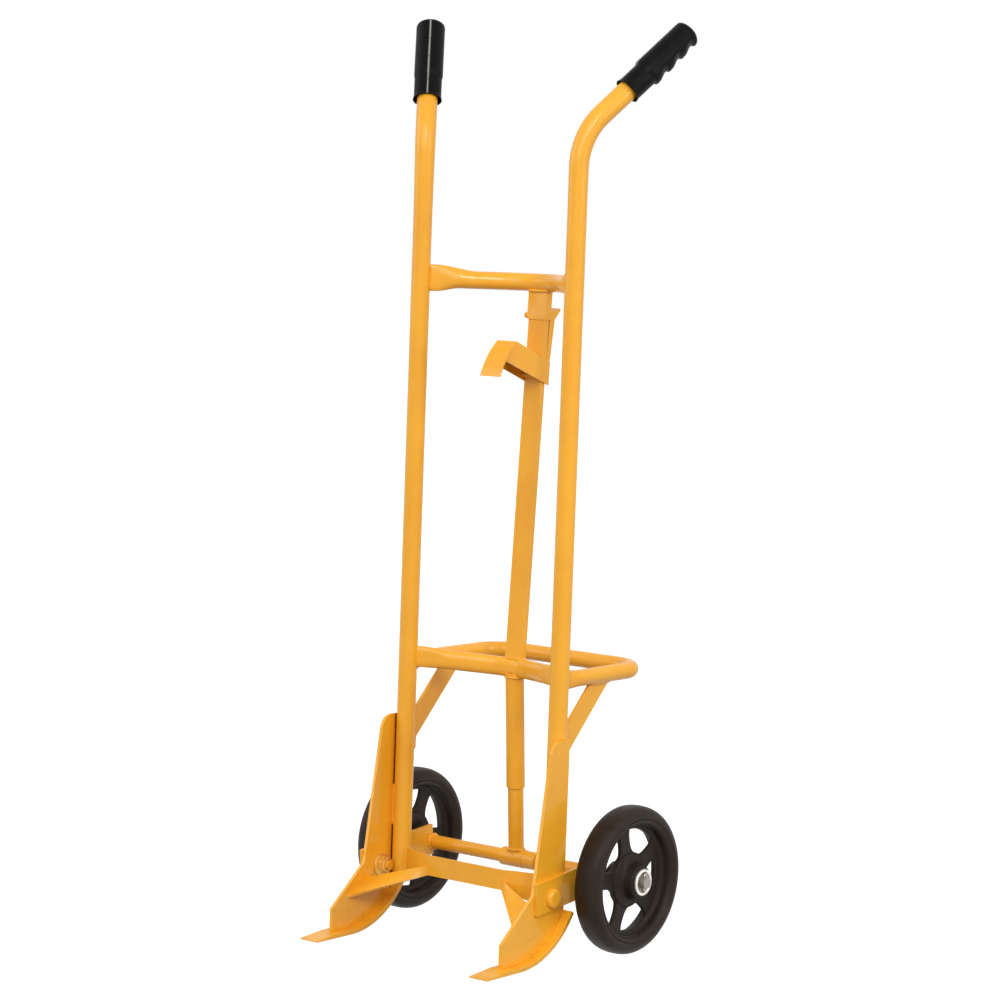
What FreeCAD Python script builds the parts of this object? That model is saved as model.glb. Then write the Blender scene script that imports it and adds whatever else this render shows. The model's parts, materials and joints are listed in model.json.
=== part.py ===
import FreeCAD, Part
import os
import re
import Sketcher

# Driving sizes in millimetres and degrees; the toes point along -Y and the floor is Z = 0
sizes = {
    "tube_diameter": 32,
    "tube_wall": 2.5,
    "upright_foot": 84,
    "bend_height": 1357,
    "bend_radius": 120,
    "left_handle_tilt": 29,
    "right_handle_tilt": 47.3,
    "left_handle_azimuth": 52,
    "right_handle_azimuth": 62,
    "weld_gap": 0.1,
    "left_grip_start": 66,
    "right_grip_start": 111,
    "grip_length": 151,
    "grip_collar_length": 42,
    "grip_collar_diameter": 43,
    "grip_mouth_diameter": 47,
    "grip_mouth_length": 9,
    "grip_body_diameter": 49,
    "grip_end_diameter": 46,
    "grip_end_wall": 6,
    "grip_end_round": 5,
    "grip_bump_reach": 26,
    "grip_bump_radius": 20,
    "grip_bump_length": 14,
    "grip_bump_first": 50,
    "grip_bump_pitch": 30,
    "upper_bar_height": 1113,
    "upper_bar_diameter": 30,
    "upper_bar_bow": 124,
    "upper_bar_bend_radius": 90,
    "upper_bar_flat_height": 46,
    "lower_bar_height": 457,
    "lower_bar_diameter": 33,
    "lower_bar_flatness": 0.7,
    "lower_bar_bow": 89,
    "lower_bar_bend_radius": 85,
    "lower_bar_end_rise": 10,
    "lower_bar_flat_height": 36,
    "bar_wall": 2.5,
    "bar_flat_width": 11,
    "bar_flat_length": 18,
    "bar_taper_length": 36,
    "bar_end_inset": 10,
    "bar_end_setback": 8,
    "loop_diameter": 28,
    "loop_rise": 4,
    "loop_arm_inset": 4,
    "loop_start": 6,
    "loop_reach": 243,
    "loop_corner_radius": 55,
    "brace_width": 37,
    "brace_thickness": 6,
    "brace_angle": 46,
    "brace_inset": 62,
    "rail_width": 35,
    "rail_depth": 12,
    "rail_sleeve_wall": 1.8,
    "rail_sleeve_length": 63,
    "stop_pin_diameter": 10,
    "stop_pin_rise": 7,
    "stop_pin_proud": 9,
    "strut_sleeve_diameter": 32,
    "strut_rod_diameter": 27,
    "strut_sleeve_end": 249,
    "strut_rod_overlap": 45,
    "axle_diameter": 24,
    "axle_setback": 113,
    "axle_height": 125,
    "axle_half_length": 277,
    "journal_diameter": 20,
    "bush_diameter": 32,
    "bush_length": 49.5,
    "bush_end": 21.5,
    "bush_clearance": 0.1,
    "collar_diameter": 31,
    "collar_length": 26,
    "toe_plate_thickness": 6,
    "toe_plate_top": 366,
    "toe_plate_rear": 6,
    "toe_plate_nose": 39,
    "toe_plate_nose_radius": 26,
    "toe_plate_waist_reach": 78,
    "toe_plate_waist_height": 116,
    "toe_plate_front": 158,
    "toe_plate_front_height": 47,
    "sole_width": 38,
    "sole_thickness": 8,
    "sole_tip_thickness": 2.5,
    "toe_reach": 213,
    "sole_flat_end": 125,
    "sole_radius": 164,
    "sole_rear": 14,
    "cross_plate_half_length": 80,
    "cross_plate_front": 29,
    "cross_plate_thickness": 5,
    "cross_plate_bottom": 102,
    "cross_plate_top": 136,
    "tongue_height": 34,
    "tongue_end_height": 56,
    "tongue_end_setback": 4,
    "strap_height": 17,
    "strap_end_reach": 122,
    "strap_end_height": 64,
    "strap_end_width": 65,
    "strap_end_slope": 22.6,
    "bracket_height": 54,
    "bracket_thickness": 6,
    "bracket_front": 76,
    "bracket_front_height": 109,
    "bracket_rear_height": 130,
    "bolt_diameter": 16,
    "bolt_setback": 34,
    "bolt_height": 107,
    "bolt_head_diameter": 33,
    "bolt_head_height": 8,
    "bolt_head_round": 6.5,
    "bolt_tail": 4,
    "bolt_clearance": 0.3,
    "washer_diameter": 40,
    "washer_thickness": 3,
    "nut_width": 24,
    "nut_height": 13,
    "wheel_diameter": 250,
    "tyre_width": 50,
    "tyre_shoulder_radius": 20,
    "tyre_seat_diameter": 192,
    "tyre_gap": 11.9,
    "rim_inner_diameter": 186,
    "rim_width": 38,
    "web_inner_diameter": 172,
    "spoke_count": 5,
    "spoke_width": 28,
    "spoke_thickness": 9,
    "left_spoke_angle": 67,
    "right_spoke_angle": 31,
    "hub_flange_diameter": 92,
    "hub_flange_thickness": 13,
    "hub_diameter": 62,
    "hub_width": 58,
    "hub_bore_diameter": 28,
    "bearing_diameter": 42,
    "bearing_width": 12,
    "running_clearance": 0.05,
    "side_clearance": 0.4,
    "axle_washer_diameter": 45,
    "axle_washer_thickness": 3,
    "axle_spacer_diameter": 28,
    "axle_spacer_length": 12.5,
    "split_pin_diameter": 3,
    "split_pin_length": 26,
    "split_pin_inset": 6.5,
    "split_pin_gap": 0.6,
    "hook_sheet": 3,
    "hook_side_clearance": 0.4,
    "hook_drop": 90,
    "hook_web_rear": 10,
    "hook_crown_reach": 83,
    "hook_crown_rise": 50.4,
    "hook_brow_reach": 110,
    "hook_brow_rise": 17,
    "hook_tip_reach": 124,
    "hook_tip_drop": 11,
    "hook_nose_bulge": 5,
    "hook_rear_reach": 12.5,
    "hook_rear_rise": 19.5,
    "hook_rear_drop": 20,
    "lever_gap": 0.8,
    "lever_foot_drop": 8,
    "lever_knee_rise": 27,
    "lever_knee_reach": 17,
    "lever_front_rise": 66,
    "lever_neck_rise": 92,
    "lever_neck_reach": 22.5,
    "lever_top_rise": 109,
    "lever_top_reach": 37.5,
    "hook_pin_diameter": 8,
    "hook_pin_gap": 0.6,
    "hook_pin_drop": 4,
    "hook_pin_proud": 0.2,
}

# Places that follow from the sizes: each half of the width is stacked inwards from the end of the axle
places = {
    "washer_face": "=axle_half_length - split_pin_inset - split_pin_diameter / 2 - split_pin_gap",
    "hub_face": "=washer_face - axle_washer_thickness - side_clearance",
    "wheel_centre_plane": "=hub_face - hub_width / 2",
    "journal_start": "=hub_face - hub_width - side_clearance - axle_spacer_length - weld_gap",
    "bracket_face": "=wheel_centre_plane - tyre_width / 2 - tyre_gap - bolt_head_height",
    "plate_face": "=bracket_face - bracket_thickness - toe_plate_thickness",
    "upright_half_spacing": "=plate_face - weld_gap - tube_diameter / 2",
    "loop_half_width": "=upright_half_spacing - loop_arm_inset",
    "loop_height": "=lower_bar_height + loop_rise",
    "brace_reach": "=loop_reach - loop_corner_radius - brace_inset",
}
names = {**sizes, **places}

doc = FreeCAD.newDocument("drum_trolley")
sheet = doc.addObject("Spreadsheet::Sheet", "Sizes")
for row, (alias, value) in enumerate(names.items(), 1):
    sheet.set(f"A{row}", alias)
    sheet.set(f"B{row}", str(value))
    sheet.setAlias(f"B{row}", alias)
doc.recompute()

parts = []

# Distances from the upright plane become Y values about the middle of the bounding box
frame_y = "(toe_reach - loop_reach - loop_diameter / 2) / 2"
rail_lean = "atan((upper_bar_bow - lower_bar_bow) / (upper_bar_height - lower_bar_height))"
strut_lean = "atan((axle_setback - lower_bar_bow) / (lower_bar_height - axle_height))"
bracket_tilt = "atan((bracket_rear_height - bracket_front_height) / (bracket_front + axle_setback))"
plate_outer = "(bracket_face - bracket_thickness)"
along_x = ("0; 1; 0", "90")
along_y = ("1; 0; 0", "-90")
side_plane = ("1; 1; 1", "120")


def behind(text):
    return f"({frame_y} + {text})"


def bound(text):
    return re.sub(r"[a-z]\w*", lambda word: f"Sizes.{word[0]}" if word[0] in names else word[0], text)


def number(text):
    return float(sheet.evalExpression(bound(text)))


def drive(piece, **texts):
    for name, text in texts.items():
        piece.setExpression(name, bound(text))


def place(piece, x, y, z, *turns):
    rotations = [f"rotation(vector({axis}); {angle})" for axis, angle in turns]
    if not rotations:
        rotations = ["rotation(vector(0; 0; 1); 0)"]
    drive(piece, Placement=f"placement(vector({x}; {y}; {z}); {' * '.join(rotations)})")


def cylinder(name, radius, length, x, y, z, *turns):
    piece = doc.addObject("Part::Cylinder", name)
    drive(piece, Radius=radius, Height=length)
    place(piece, x, y, z, *turns)
    return piece


def sector(name, radius, length, angle, x, y, z, *turns):
    piece = cylinder(name, radius, length, x, y, z, *turns)
    drive(piece, Angle=angle)
    return piece


def cone(name, lower_radius, upper_radius, length, x, y, z, *turns):
    piece = doc.addObject("Part::Cone", name)
    drive(piece, Radius1=lower_radius, Radius2=upper_radius, Height=length)
    place(piece, x, y, z, *turns)
    return piece


def torus(name, ring_radius, tube_radius, sweep, x, y, z, *turns):
    piece = doc.addObject("Part::Torus", name)
    drive(piece, Radius1=ring_radius, Radius2=tube_radius, Angle3=sweep)
    place(piece, x, y, z, *turns)
    return piece


def ellipsoid(name, half_length, radius, x, y, z):
    piece = doc.addObject("Part::Ellipsoid", name)
    drive(piece, Radius1=half_length, Radius2=radius, Radius3=radius)
    place(piece, x, y, z)
    return piece


def box(name, length, width, height, x, y, z, *turns):
    piece = doc.addObject("Part::Box", name)
    drive(piece, Length=length, Width=width, Height=height)
    place(piece, x, y, z, *turns)
    return piece


def fuse(name, *pieces):
    piece = doc.addObject("Part::MultiFuse", name)
    piece.Shapes = list(pieces)
    piece.Refine = True
    return piece


def cut(name, base, *tools):
    for count, tool in enumerate(tools, 1):
        piece = doc.addObject("Part::Cut", name if count == len(tools) else f"{name}_stage")
        piece.Base = base
        piece.Tool = tool
        base = piece
    return base


def group(name, *pieces):
    piece = doc.addObject("Part::Compound", name)
    piece.Links = list(pieces)
    return piece


# A flat outline of straight edges and three-point arcs; an arc's middle point is marked "arc"
def outline(name, corners, x, y, z, *turns, closed=True):
    sketch = doc.addObject("Sketcher::SketchObject", name)
    points = [(corner[0], corner[1]) for corner in corners if len(corner) == 2]
    middles = {}
    for index, corner in enumerate(corners):
        if len(corner) == 3:
            before = sum(len(earlier) == 2 for earlier in corners[:index])
            middles[before - 1] = corner
    spots = [FreeCAD.Vector(number(across), number(up), 0) for across, up in points]
    count = len(points)
    edges = count if closed else count - 1
    for index in range(edges):
        start = spots[index]
        end = spots[(index + 1) % count]
        if index in middles:
            middle = FreeCAD.Vector(number(middles[index][0]), number(middles[index][1]), 0)
            sketch.addGeometry(Part.Arc(start, middle, end), False)
        else:
            sketch.addGeometry(Part.LineSegment(start, end), False)

    # A three-point arc may run backwards, so the nearer end is the one that gets joined
    def end_at(edge, spot):
        first = sketch.getPoint(edge, 1)
        last = sketch.getPoint(edge, 2)
        return 1 if first.distanceToPoint(spot) < last.distanceToPoint(spot) else 2

    for index in range(edges if closed else edges - 1):
        following = (index + 1) % count
        spot = spots[following]
        sketch.addConstraint(Sketcher.Constraint(
            "Coincident", index, end_at(index, spot), following, end_at(following, spot)))
    for index, (across, up) in enumerate(points):
        edge = min(index, edges - 1)
        pin = end_at(edge, spots[index])
        for kind, text in (("DistanceX", across), ("DistanceY", up)):
            rule = sketch.addConstraint(Sketcher.Constraint(kind, -1, 1, edge, pin, number(text)))
            drive(sketch, **{f"Constraints[{rule}]": text})
    for index, middle in middles.items():
        spot = sketch.addGeometry(Part.Point(FreeCAD.Vector(number(middle[0]), number(middle[1]), 0)), True)
        sketch.addConstraint(Sketcher.Constraint("PointOnObject", spot, 1, index))
        for kind, text in (("DistanceX", middle[0]), ("DistanceY", middle[1])):
            rule = sketch.addConstraint(Sketcher.Constraint(kind, -1, 1, spot, 1, number(text)))
            drive(sketch, **{f"Constraints[{rule}]": text})
    place(sketch, x, y, z, *turns)
    return sketch


def plate(name, corners, thickness, x, y, z, *turns):
    piece = doc.addObject("Part::Extrusion", name)
    piece.Base = outline(f"{name}_outline", corners, x, y, z, *turns)
    piece.DirMode = "Normal"
    piece.Solid = True
    drive(piece, LengthFwd=thickness)
    return piece


def rounded(name, base, radius, chosen):
    doc.recompute()
    piece = doc.addObject("Part::Fillet", name)
    piece.Base = base
    piece.Edges = [(index, number(radius), number(radius))
                   for index, edge in enumerate(base.Shape.Edges, 1) if chosen(edge)]
    return piece


def part(label, piece):
    piece.Label = label
    parts.append(piece)
    return piece


def mirrored(side, text, span):
    return text if side > 0 else f"-{text} - {span}"


# Uprights: one vertical tube a side, bent out and back into a handle
def bent_tube(name, word, radius):
    tilt = f"{word}_handle_tilt"
    run = f"(bend_radius * tan({tilt} / 2))"
    post = cylinder(f"{name}_post", radius, f"bend_height - {run} - upright_foot", "0", "0", "upright_foot")
    bend = torus(f"{name}_bend", "bend_radius", radius, tilt,
                 "bend_radius", "0", f"bend_height - {run}", ("0; 1; 1", "180"))
    handle_end = f"{word}_grip_start + grip_length - grip_end_wall - weld_gap"
    handle = cylinder(f"{name}_handle", radius, f"{handle_end} - {run}",
                      f"{run} * sin({tilt})", "0", f"bend_height + {run} * cos({tilt})", ("0; 1; 0", tilt))
    return fuse(name, post, bend, handle)


def azimuth(word):
    return ("0; 0; 1", "right_handle_azimuth" if word == "right" else "180 - left_handle_azimuth")


sides = {"left": -1, "right": 1}
upright_outers = {}
for word, side in sides.items():
    outer = bent_tube(f"{word}_upright_outer", word, "tube_diameter / 2")
    inner = bent_tube(f"{word}_upright_inner", word, "tube_diameter / 2 - tube_wall")
    upright = cut(f"{word}_upright", outer, inner)
    place(upright, f"{side} * upright_half_spacing", behind("0"), "0", azimuth(word))
    part(f"{word}_upright", upright)
    envelope = cylinder(f"{word}_upright_envelope", "tube_diameter / 2 + weld_gap", "bend_height",
                        f"{side} * upright_half_spacing", behind("0"), "0")
    upright_outers[word] = envelope

# Hand grips: closed sleeves with a flared mouth and finger bumps underneath
for word, side in sides.items():
    mouth = cone(f"{word}_grip_mouth", "grip_mouth_diameter / 2", "grip_collar_diameter / 2",
                 "grip_mouth_length", "0", "0", "0")
    collar = cylinder(f"{word}_grip_collar", "grip_collar_diameter / 2", "grip_collar_length", "0", "0", "0")
    body = cone(f"{word}_grip_cone", "grip_body_diameter / 2", "grip_end_diameter / 2",
                "grip_length - grip_collar_length", "0", "0", "grip_collar_length")
    tip = number("grip_length")
    body = rounded(f"{word}_grip_body", body, "grip_end_round", lambda edge: edge.BoundBox.ZMin > tip - 0.01)
    bumps = [ellipsoid(f"{word}_grip_bump_{count}", "grip_bump_length", "grip_bump_radius",
                       "grip_bump_reach - grip_bump_radius", "0",
                       f"grip_bump_first + {count} * grip_bump_pitch") for count in range(3)]
    bore = cylinder(f"{word}_grip_bore", "tube_diameter / 2 + weld_gap", "grip_length - grip_end_wall",
                    "0", "0", "0")
    grip = cut(f"{word}_grip", fuse(f"{word}_grip_outside", mouth, collar, body, *bumps), bore)
    tilt = f"{word}_handle_tilt"
    reach = f"{word}_grip_start * sin({tilt})"
    place(grip, f"{side} * (upright_half_spacing + {reach} * cos({word}_handle_azimuth))",
          behind(f"{reach} * sin({word}_handle_azimuth)"), f"bend_height + {word}_grip_start * cos({tilt})",
          azimuth(word), ("0; 1; 0", tilt))
    part(f"{word}_grip", grip)

# Cross bars: tubes bowed to the rear, with their ends pressed flat against the uprights
bar_half_chord = "(upright_half_spacing - bar_end_inset)"


def bowed_loft(name, prefix, flatness, end_rise, wall):
    bow = f"{prefix}_bow"
    bend = f"{prefix}_bend_radius"
    rise = f"({bow} - bar_end_setback)"
    root = f"sqrt({bar_half_chord} ^ 2 - (2 * {bend} - {rise}) * {rise})"
    lean = f"(2 * atan({rise} / ({bar_half_chord} + {root})))"
    flank = f"(({bar_half_chord} - {bend} * sin({lean})) / cos({lean}))"
    tapered = "(bar_flat_length + bar_taper_length)"
    runs = [("0", 1), ("bar_flat_length", 1), ("(bar_flat_length + bar_taper_length / 2)", 0.5),
            (tapered, 0), (f"(({tapered} + {flank}) / 2)", 0)]
    stations = [(f"({bar_half_chord} - {run} * cos({lean}))", f"(bar_end_setback + {run} * sin({lean}))",
                 lean, share) for run, share in runs]
    stations += [(f"({bend} * sin({turn}))", f"({bow} - {bend} + {bend} * cos({turn}))", turn, 0)
                 for turn in (lean, f"({lean} * 2 / 3)", f"({lean} / 3)")]
    ring = [(-1, *station) for station in stations] + [(1, "0", bow, "0", 0)]
    ring += [(1, *station) for station in reversed(stations)]
    sections = []
    for count, (sign, across, back, turn, share) in enumerate(ring):
        section = doc.addObject("Part::Ellipse", f"{name}_section_{count}")
        tall = f"{share} * {prefix}_flat_height + (1 - {share}) * {prefix}_diameter"
        wide = f"{share} * bar_flat_width + (1 - {share}) * {prefix}_diameter * {flatness}"
        drive(section, MajorRadius=f"({tall}) / 2 - {wall}", MinorRadius=f"({wide}) / 2 - {wall}")
        place(section, f"{sign} * {across}", behind(back),
              f"{prefix}_height + {end_rise} * ({bow} - {back}) / {rise}",
              ("0; 0; 1", f"-1 * {sign} * {turn}"), ("1; 0; 1", "180"))
        sections.append(section)
    piece = doc.addObject("Part::Loft", name)
    piece.Sections = sections
    piece.Solid = True
    return piece


def bowed_bar(label, prefix, flatness, end_rise, *tools):
    outer = bowed_loft(f"{label}_outer", prefix, flatness, end_rise, "0")
    inner = bowed_loft(f"{label}_inner", prefix, flatness, end_rise, "bar_wall")
    part(label, cut(label, outer, inner, *tools))
    return outer


# Rear loop: one tube bent to a wide U behind the uprights
loop_straight = "(loop_reach - loop_corner_radius)"
loop_inset = "(loop_half_width - loop_corner_radius)"
loop_diagonal = "loop_corner_radius * sqrt(0.5)"
loop_corners = [("-loop_half_width", "loop_start"), ("-loop_half_width", loop_straight),
                (f"-{loop_inset} - {loop_diagonal}", f"{loop_straight} + {loop_diagonal}", "arc"),
                (f"-{loop_inset}", "loop_reach"), (loop_inset, "loop_reach"),
                (f"{loop_inset} + {loop_diagonal}", f"{loop_straight} + {loop_diagonal}", "arc"),
                ("loop_half_width", loop_straight), ("loop_half_width", "loop_start")]
loop_path = outline("loop_path", loop_corners, "0", behind("0"), "loop_height", closed=False)


def loop_run(name, radius):
    profile = doc.addObject("Part::Circle", f"{name}_profile")
    drive(profile, Radius=radius)
    place(profile, "-loop_half_width", behind("loop_start"), "loop_height", along_y)
    piece = doc.addObject("Part::Sweep", name)
    piece.Sections = [profile]
    piece.Spine = (loop_path, [f"Edge{count}" for count in range(1, 6)])
    piece.Solid = True
    return piece


loop_outer = loop_run("rear_loop_outer", "loop_diameter / 2")
loop_inner = loop_run("rear_loop_inner", "loop_diameter / 2 - bar_wall")
arm_envelopes = {}
for word, side in sides.items():
    arm_envelopes[word] = cylinder(f"{word}_arm_envelope", "loop_diameter / 2 + weld_gap",
                                   f"{loop_straight} + tube_diameter", f"{side} * loop_half_width",
                                   behind("-tube_diameter"), "loop_height", along_y)
part("rear_loop", cut("rear_loop", loop_outer, loop_inner, *upright_outers.values()))
upper_bar = bowed_bar("upper_cross_bar", "upper_bar", "1", "0", *upright_outers.values())
lower_bar = bowed_bar("lower_front_bar", "lower_bar", "lower_bar_flatness", "lower_bar_end_rise",
                      *upright_outers.values(), *arm_envelopes.values())

# Braces: flat bars rising from the uprights to the underside of the loop
brace_run = "(brace_width / sin(brace_angle) / 2)"
brace_fall = "(brace_width / cos(brace_angle) / 2)"
brace_foot = "(loop_height - brace_reach * tan(brace_angle))"
for word, side in sides.items():
    corners = [("0", f"{brace_foot} - {brace_fall}"),
               (f"brace_reach + {brace_run}", "loop_height"),
               (f"brace_reach - {brace_run}", "loop_height"),
               ("0", f"{brace_foot} + {brace_fall}")]
    bar = plate(f"{word}_brace_bar", corners, "brace_thickness",
                f"{side} * loop_half_width - brace_thickness / 2", behind("0"), "0", side_plane)
    part(f"{word}_brace", cut(f"{word}_brace", bar, upright_outers[word], arm_envelopes[word]))

# Hook rail: a flat bar leaning back between the two cross bars, in a sleeve with a stop pin at its top
rail_turn = ("1; 0; 0", f"-{rail_lean}")
rail_length = f"((upper_bar_height - lower_bar_height) / cos({rail_lean}))"


def on_rail(piece):
    place(piece, "0", behind("lower_bar_bow"), "lower_bar_height", rail_turn)
    return piece


sleeve_start = f"({rail_length} - rail_sleeve_length)"
stop_pin_height = f"({sleeve_start} + stop_pin_rise)"
sleeve_width = "(rail_width + 2 * weld_gap + 2 * rail_sleeve_wall)"
sleeve_depth = "(rail_depth + 2 * weld_gap + 2 * rail_sleeve_wall)"
stop_hole = cylinder("stop_hole", "stop_pin_diameter / 2 + weld_gap", f"2 * {sleeve_width}",
                     f"-{sleeve_width}", "0", stop_pin_height, along_x)
bar = box("rail_bar", "rail_width", "rail_depth", rail_length, "-rail_width / 2", "-rail_depth / 2", "0")
rail = on_rail(cut("rail_drilled", bar, stop_hole))
part("hook_rail", cut("hook_rail", rail, lower_bar, upper_bar))
sleeve = box("sleeve_block", sleeve_width, sleeve_depth, "rail_sleeve_length",
             f"-{sleeve_width} / 2", f"-{sleeve_depth} / 2", sleeve_start)
slot = box("sleeve_slot", "rail_width + 2 * weld_gap", "rail_depth + 2 * weld_gap", rail_length,
           "-rail_width / 2 - weld_gap", "-rail_depth / 2 - weld_gap", "0")
sleeve = on_rail(cut("sleeve_drilled", sleeve, slot, stop_hole))
part("rail_top_sleeve", cut("rail_top_sleeve", sleeve, upper_bar))
stop_pin = cylinder("stop_pin", "stop_pin_diameter / 2", f"{sleeve_width} + stop_pin_proud",
                    f"-{sleeve_width} / 2 - stop_pin_proud", "0", stop_pin_height, along_x)
part("rail_stop_pin", on_rail(group("rail_stop_pin", stop_pin)))

# Strut: a rod in a sleeve, from the lower front bar down to a bush on the axle
strut_turn = ("1; 0; 0", f"180 deg + {strut_lean}")
strut_length = f"((lower_bar_height - axle_height) / cos({strut_lean}))"
sleeve_length = f"((lower_bar_height - strut_sleeve_end) / cos({strut_lean}))"
bush_bore = "(axle_diameter / 2 + bush_clearance)"


def on_strut(piece):
    place(piece, "0", behind("lower_bar_bow"), "lower_bar_height", strut_turn)
    return piece


outer = cylinder("strut_tube", "strut_sleeve_diameter / 2", f"{sleeve_length} - lower_bar_diameter / 4",
                 "0", "0", "lower_bar_diameter / 4")
inner = cylinder("strut_bore", "strut_rod_diameter / 2 + weld_gap", sleeve_length, "0", "0", "0")
part("strut_sleeve", cut("strut_sleeve", on_strut(cut("strut_hollow", outer, inner)), lower_bar))
rod = on_strut(group("strut_bar", cylinder("strut_bar_rod", "strut_rod_diameter / 2",
                                           f"{strut_length} - {sleeve_length} + strut_rod_overlap",
                                           "0", "0", f"{sleeve_length} - strut_rod_overlap")))
bush_envelope = cylinder("bush_envelope", "bush_diameter / 2 + weld_gap", "bush_length",
                         "bush_end - bush_length", behind("axle_setback"), "axle_height", along_x)
part("strut_rod", cut("strut_rod", rod, bush_envelope))


def on_axle(name, radius, length, start):
    return cylinder(name, radius, length, start, behind("axle_setback"), "axle_height", along_x)


def ring(name, outer_radius, inner_radius, length, start):
    return cut(name, on_axle(f"{name}_outside", outer_radius, length, start),
               on_axle(f"{name}_hole", inner_radius, length, start))


part("axle_bush", ring("axle_bush", "bush_diameter / 2", bush_bore, "bush_length",
                       "bush_end - bush_length"))
part("axle_collar", ring("axle_collar", "collar_diameter / 2", bush_bore, "collar_length",
                         "bush_end + weld_gap"))

# Axle: a round bar with a turned-down journal and a pin hole at each end
pin_station = "(axle_half_length - split_pin_inset)"
bar = fuse("axle_bar", on_axle("axle_middle", "axle_diameter / 2", "2 * journal_start", "-journal_start"),
           on_axle("axle_journals", "journal_diameter / 2", "2 * axle_half_length", "-axle_half_length"))
pin_holes = [cylinder(f"{word}_pin_hole", "split_pin_diameter / 2 + weld_gap", "axle_height",
                      f"{side} * {pin_station}", behind("axle_setback"), "axle_height / 2")
             for word, side in sides.items()]
part("axle", cut("axle", bar, *pin_holes))
pins = [cylinder(f"{word}_split_pin", "split_pin_diameter / 2", "split_pin_length",
                 f"{side} * {pin_station}", behind("axle_setback"), "axle_height - split_pin_length / 2")
        for word, side in sides.items()]
part("split_pins", group("split_pins", *pins))

# Toes: an upright plate on the outside of each tube, standing on a curved sole
curve_top = "(sole_radius - sole_thickness)"
sole_turn = "asin((sole_rear + sole_flat_end) / sole_radius)"
bolt_spot = (behind("-bolt_setback"), "bolt_height")
toe_plates = {}
for word, side in sides.items():
    corners = [("toe_plate_rear", "toe_plate_top"), ("-toe_plate_nose", "toe_plate_top"),
               ("-toe_plate_waist_reach", "toe_plate_waist_height"),
               ("-toe_plate_front", "toe_plate_front_height"),
               ("-toe_plate_front", "sole_thickness + weld_gap"),
               ("toe_plate_rear", "sole_thickness + weld_gap")]
    start = mirrored(side, "plate_face", "toe_plate_thickness")
    blank = plate(f"{word}_toe_blank", corners, "toe_plate_thickness", start, behind("0"), "0", side_plane)
    nose = number("toe_plate_nose")
    top = number("toe_plate_top")
    nose_y = number(behind("-toe_plate_nose"))
    blank = rounded(f"{word}_toe_rounded", blank, "toe_plate_nose_radius",
                    lambda edge: edge.Length < nose and abs(edge.CenterOfMass.y - nose_y) < 0.01
                    and abs(edge.CenterOfMass.z - top) < 0.01)
    beyond = cut(f"{word}_toe_relief",
                 sector(f"{word}_toe_relief_outside", "2 * sole_radius", "sole_width", "90",
                        mirrored(side, "plate_face", "sole_width"), behind("-sole_flat_end"),
                        "sole_radius", along_x),
                 cylinder(f"{word}_toe_relief_inside", f"{curve_top} - weld_gap", "sole_width",
                          mirrored(side, "plate_face", "sole_width"), behind("-sole_flat_end"),
                          "sole_radius", along_x))
    hole = cylinder(f"{word}_toe_hole", "bolt_diameter / 2 + bolt_clearance", "toe_plate_thickness",
                    start, *bolt_spot, along_x)
    toe_plates[word] = part(f"{word}_toe_plate", cut(f"{word}_toe_plate", blank, beyond, hole))
    middle = "(plate_face + toe_plate_thickness / 2 - sole_width / 2)"
    sole_start = mirrored(side, middle, "sole_width")
    corners = [("-toe_reach", "0"), ("-sole_flat_end", "0"), ("-sole_flat_end", "sole_thickness"),
               ("-toe_plate_front", "sole_thickness"), ("-toe_reach", "sole_tip_thickness")]
    flat = plate(f"{word}_sole_flat", corners, "sole_width", sole_start, behind("0"), "0", side_plane)
    curve = cut(f"{word}_sole_curve",
                sector(f"{word}_sole_outside", "sole_radius", "sole_width", sole_turn, sole_start,
                       behind("-sole_flat_end"), "sole_radius", along_x),
                cylinder(f"{word}_sole_inside", curve_top, "sole_width", sole_start,
                         behind("-sole_flat_end"), "sole_radius", along_x))
    part(f"{word}_toe_sole", fuse(f"{word}_toe_sole", flat, curve))

# Front cross plate: a flat plate with two tongues bent back to the uprights
tongue_run = "(upright_half_spacing - tube_diameter / 4 - cross_plate_half_length)"
tongue_rise = "(cross_plate_front - tongue_end_setback)"
tongue_angle = f"atan({tongue_rise} / {tongue_run})"
tongue_length = f"sqrt({tongue_run} ^ 2 + {tongue_rise} ^ 2)"
tongue_plane = ("0; 1; 1", "180")
tongue_roots = ["cross_plate_top", "cross_plate_top - tongue_height"]
tongue_ends = ["cross_plate_top", "cross_plate_top - tongue_end_height"]


def tongue_corners(starts, ends):
    return [("0", starts[0]), (f"-{tongue_length}", ends[0]),
            (f"-{tongue_length}", ends[1]), ("0", starts[1])]


middle = box("cross_plate_middle", "2 * cross_plate_half_length", "cross_plate_thickness",
             "cross_plate_top - cross_plate_bottom", "-cross_plate_half_length",
             behind("-cross_plate_front"), "cross_plate_bottom")
left_tongue = plate("left_tongue", tongue_corners(tongue_ends, tongue_roots), "cross_plate_thickness",
                    f"-cross_plate_half_length - {tongue_run}", behind("-tongue_end_setback"), "0",
                    ("0; 0; 1", f"-{tongue_angle}"), tongue_plane)
right_tongue = plate("right_tongue", tongue_corners(tongue_roots, tongue_ends), "cross_plate_thickness",
                     "cross_plate_half_length", behind("-cross_plate_front"), "0",
                     ("0; 0; 1", tongue_angle), tongue_plane)
cross_plate = fuse("cross_plate_outside", middle, left_tongue, right_tongue)
part("front_cross_plate", cut("front_cross_plate", cross_plate, *upright_outers.values()))

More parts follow.
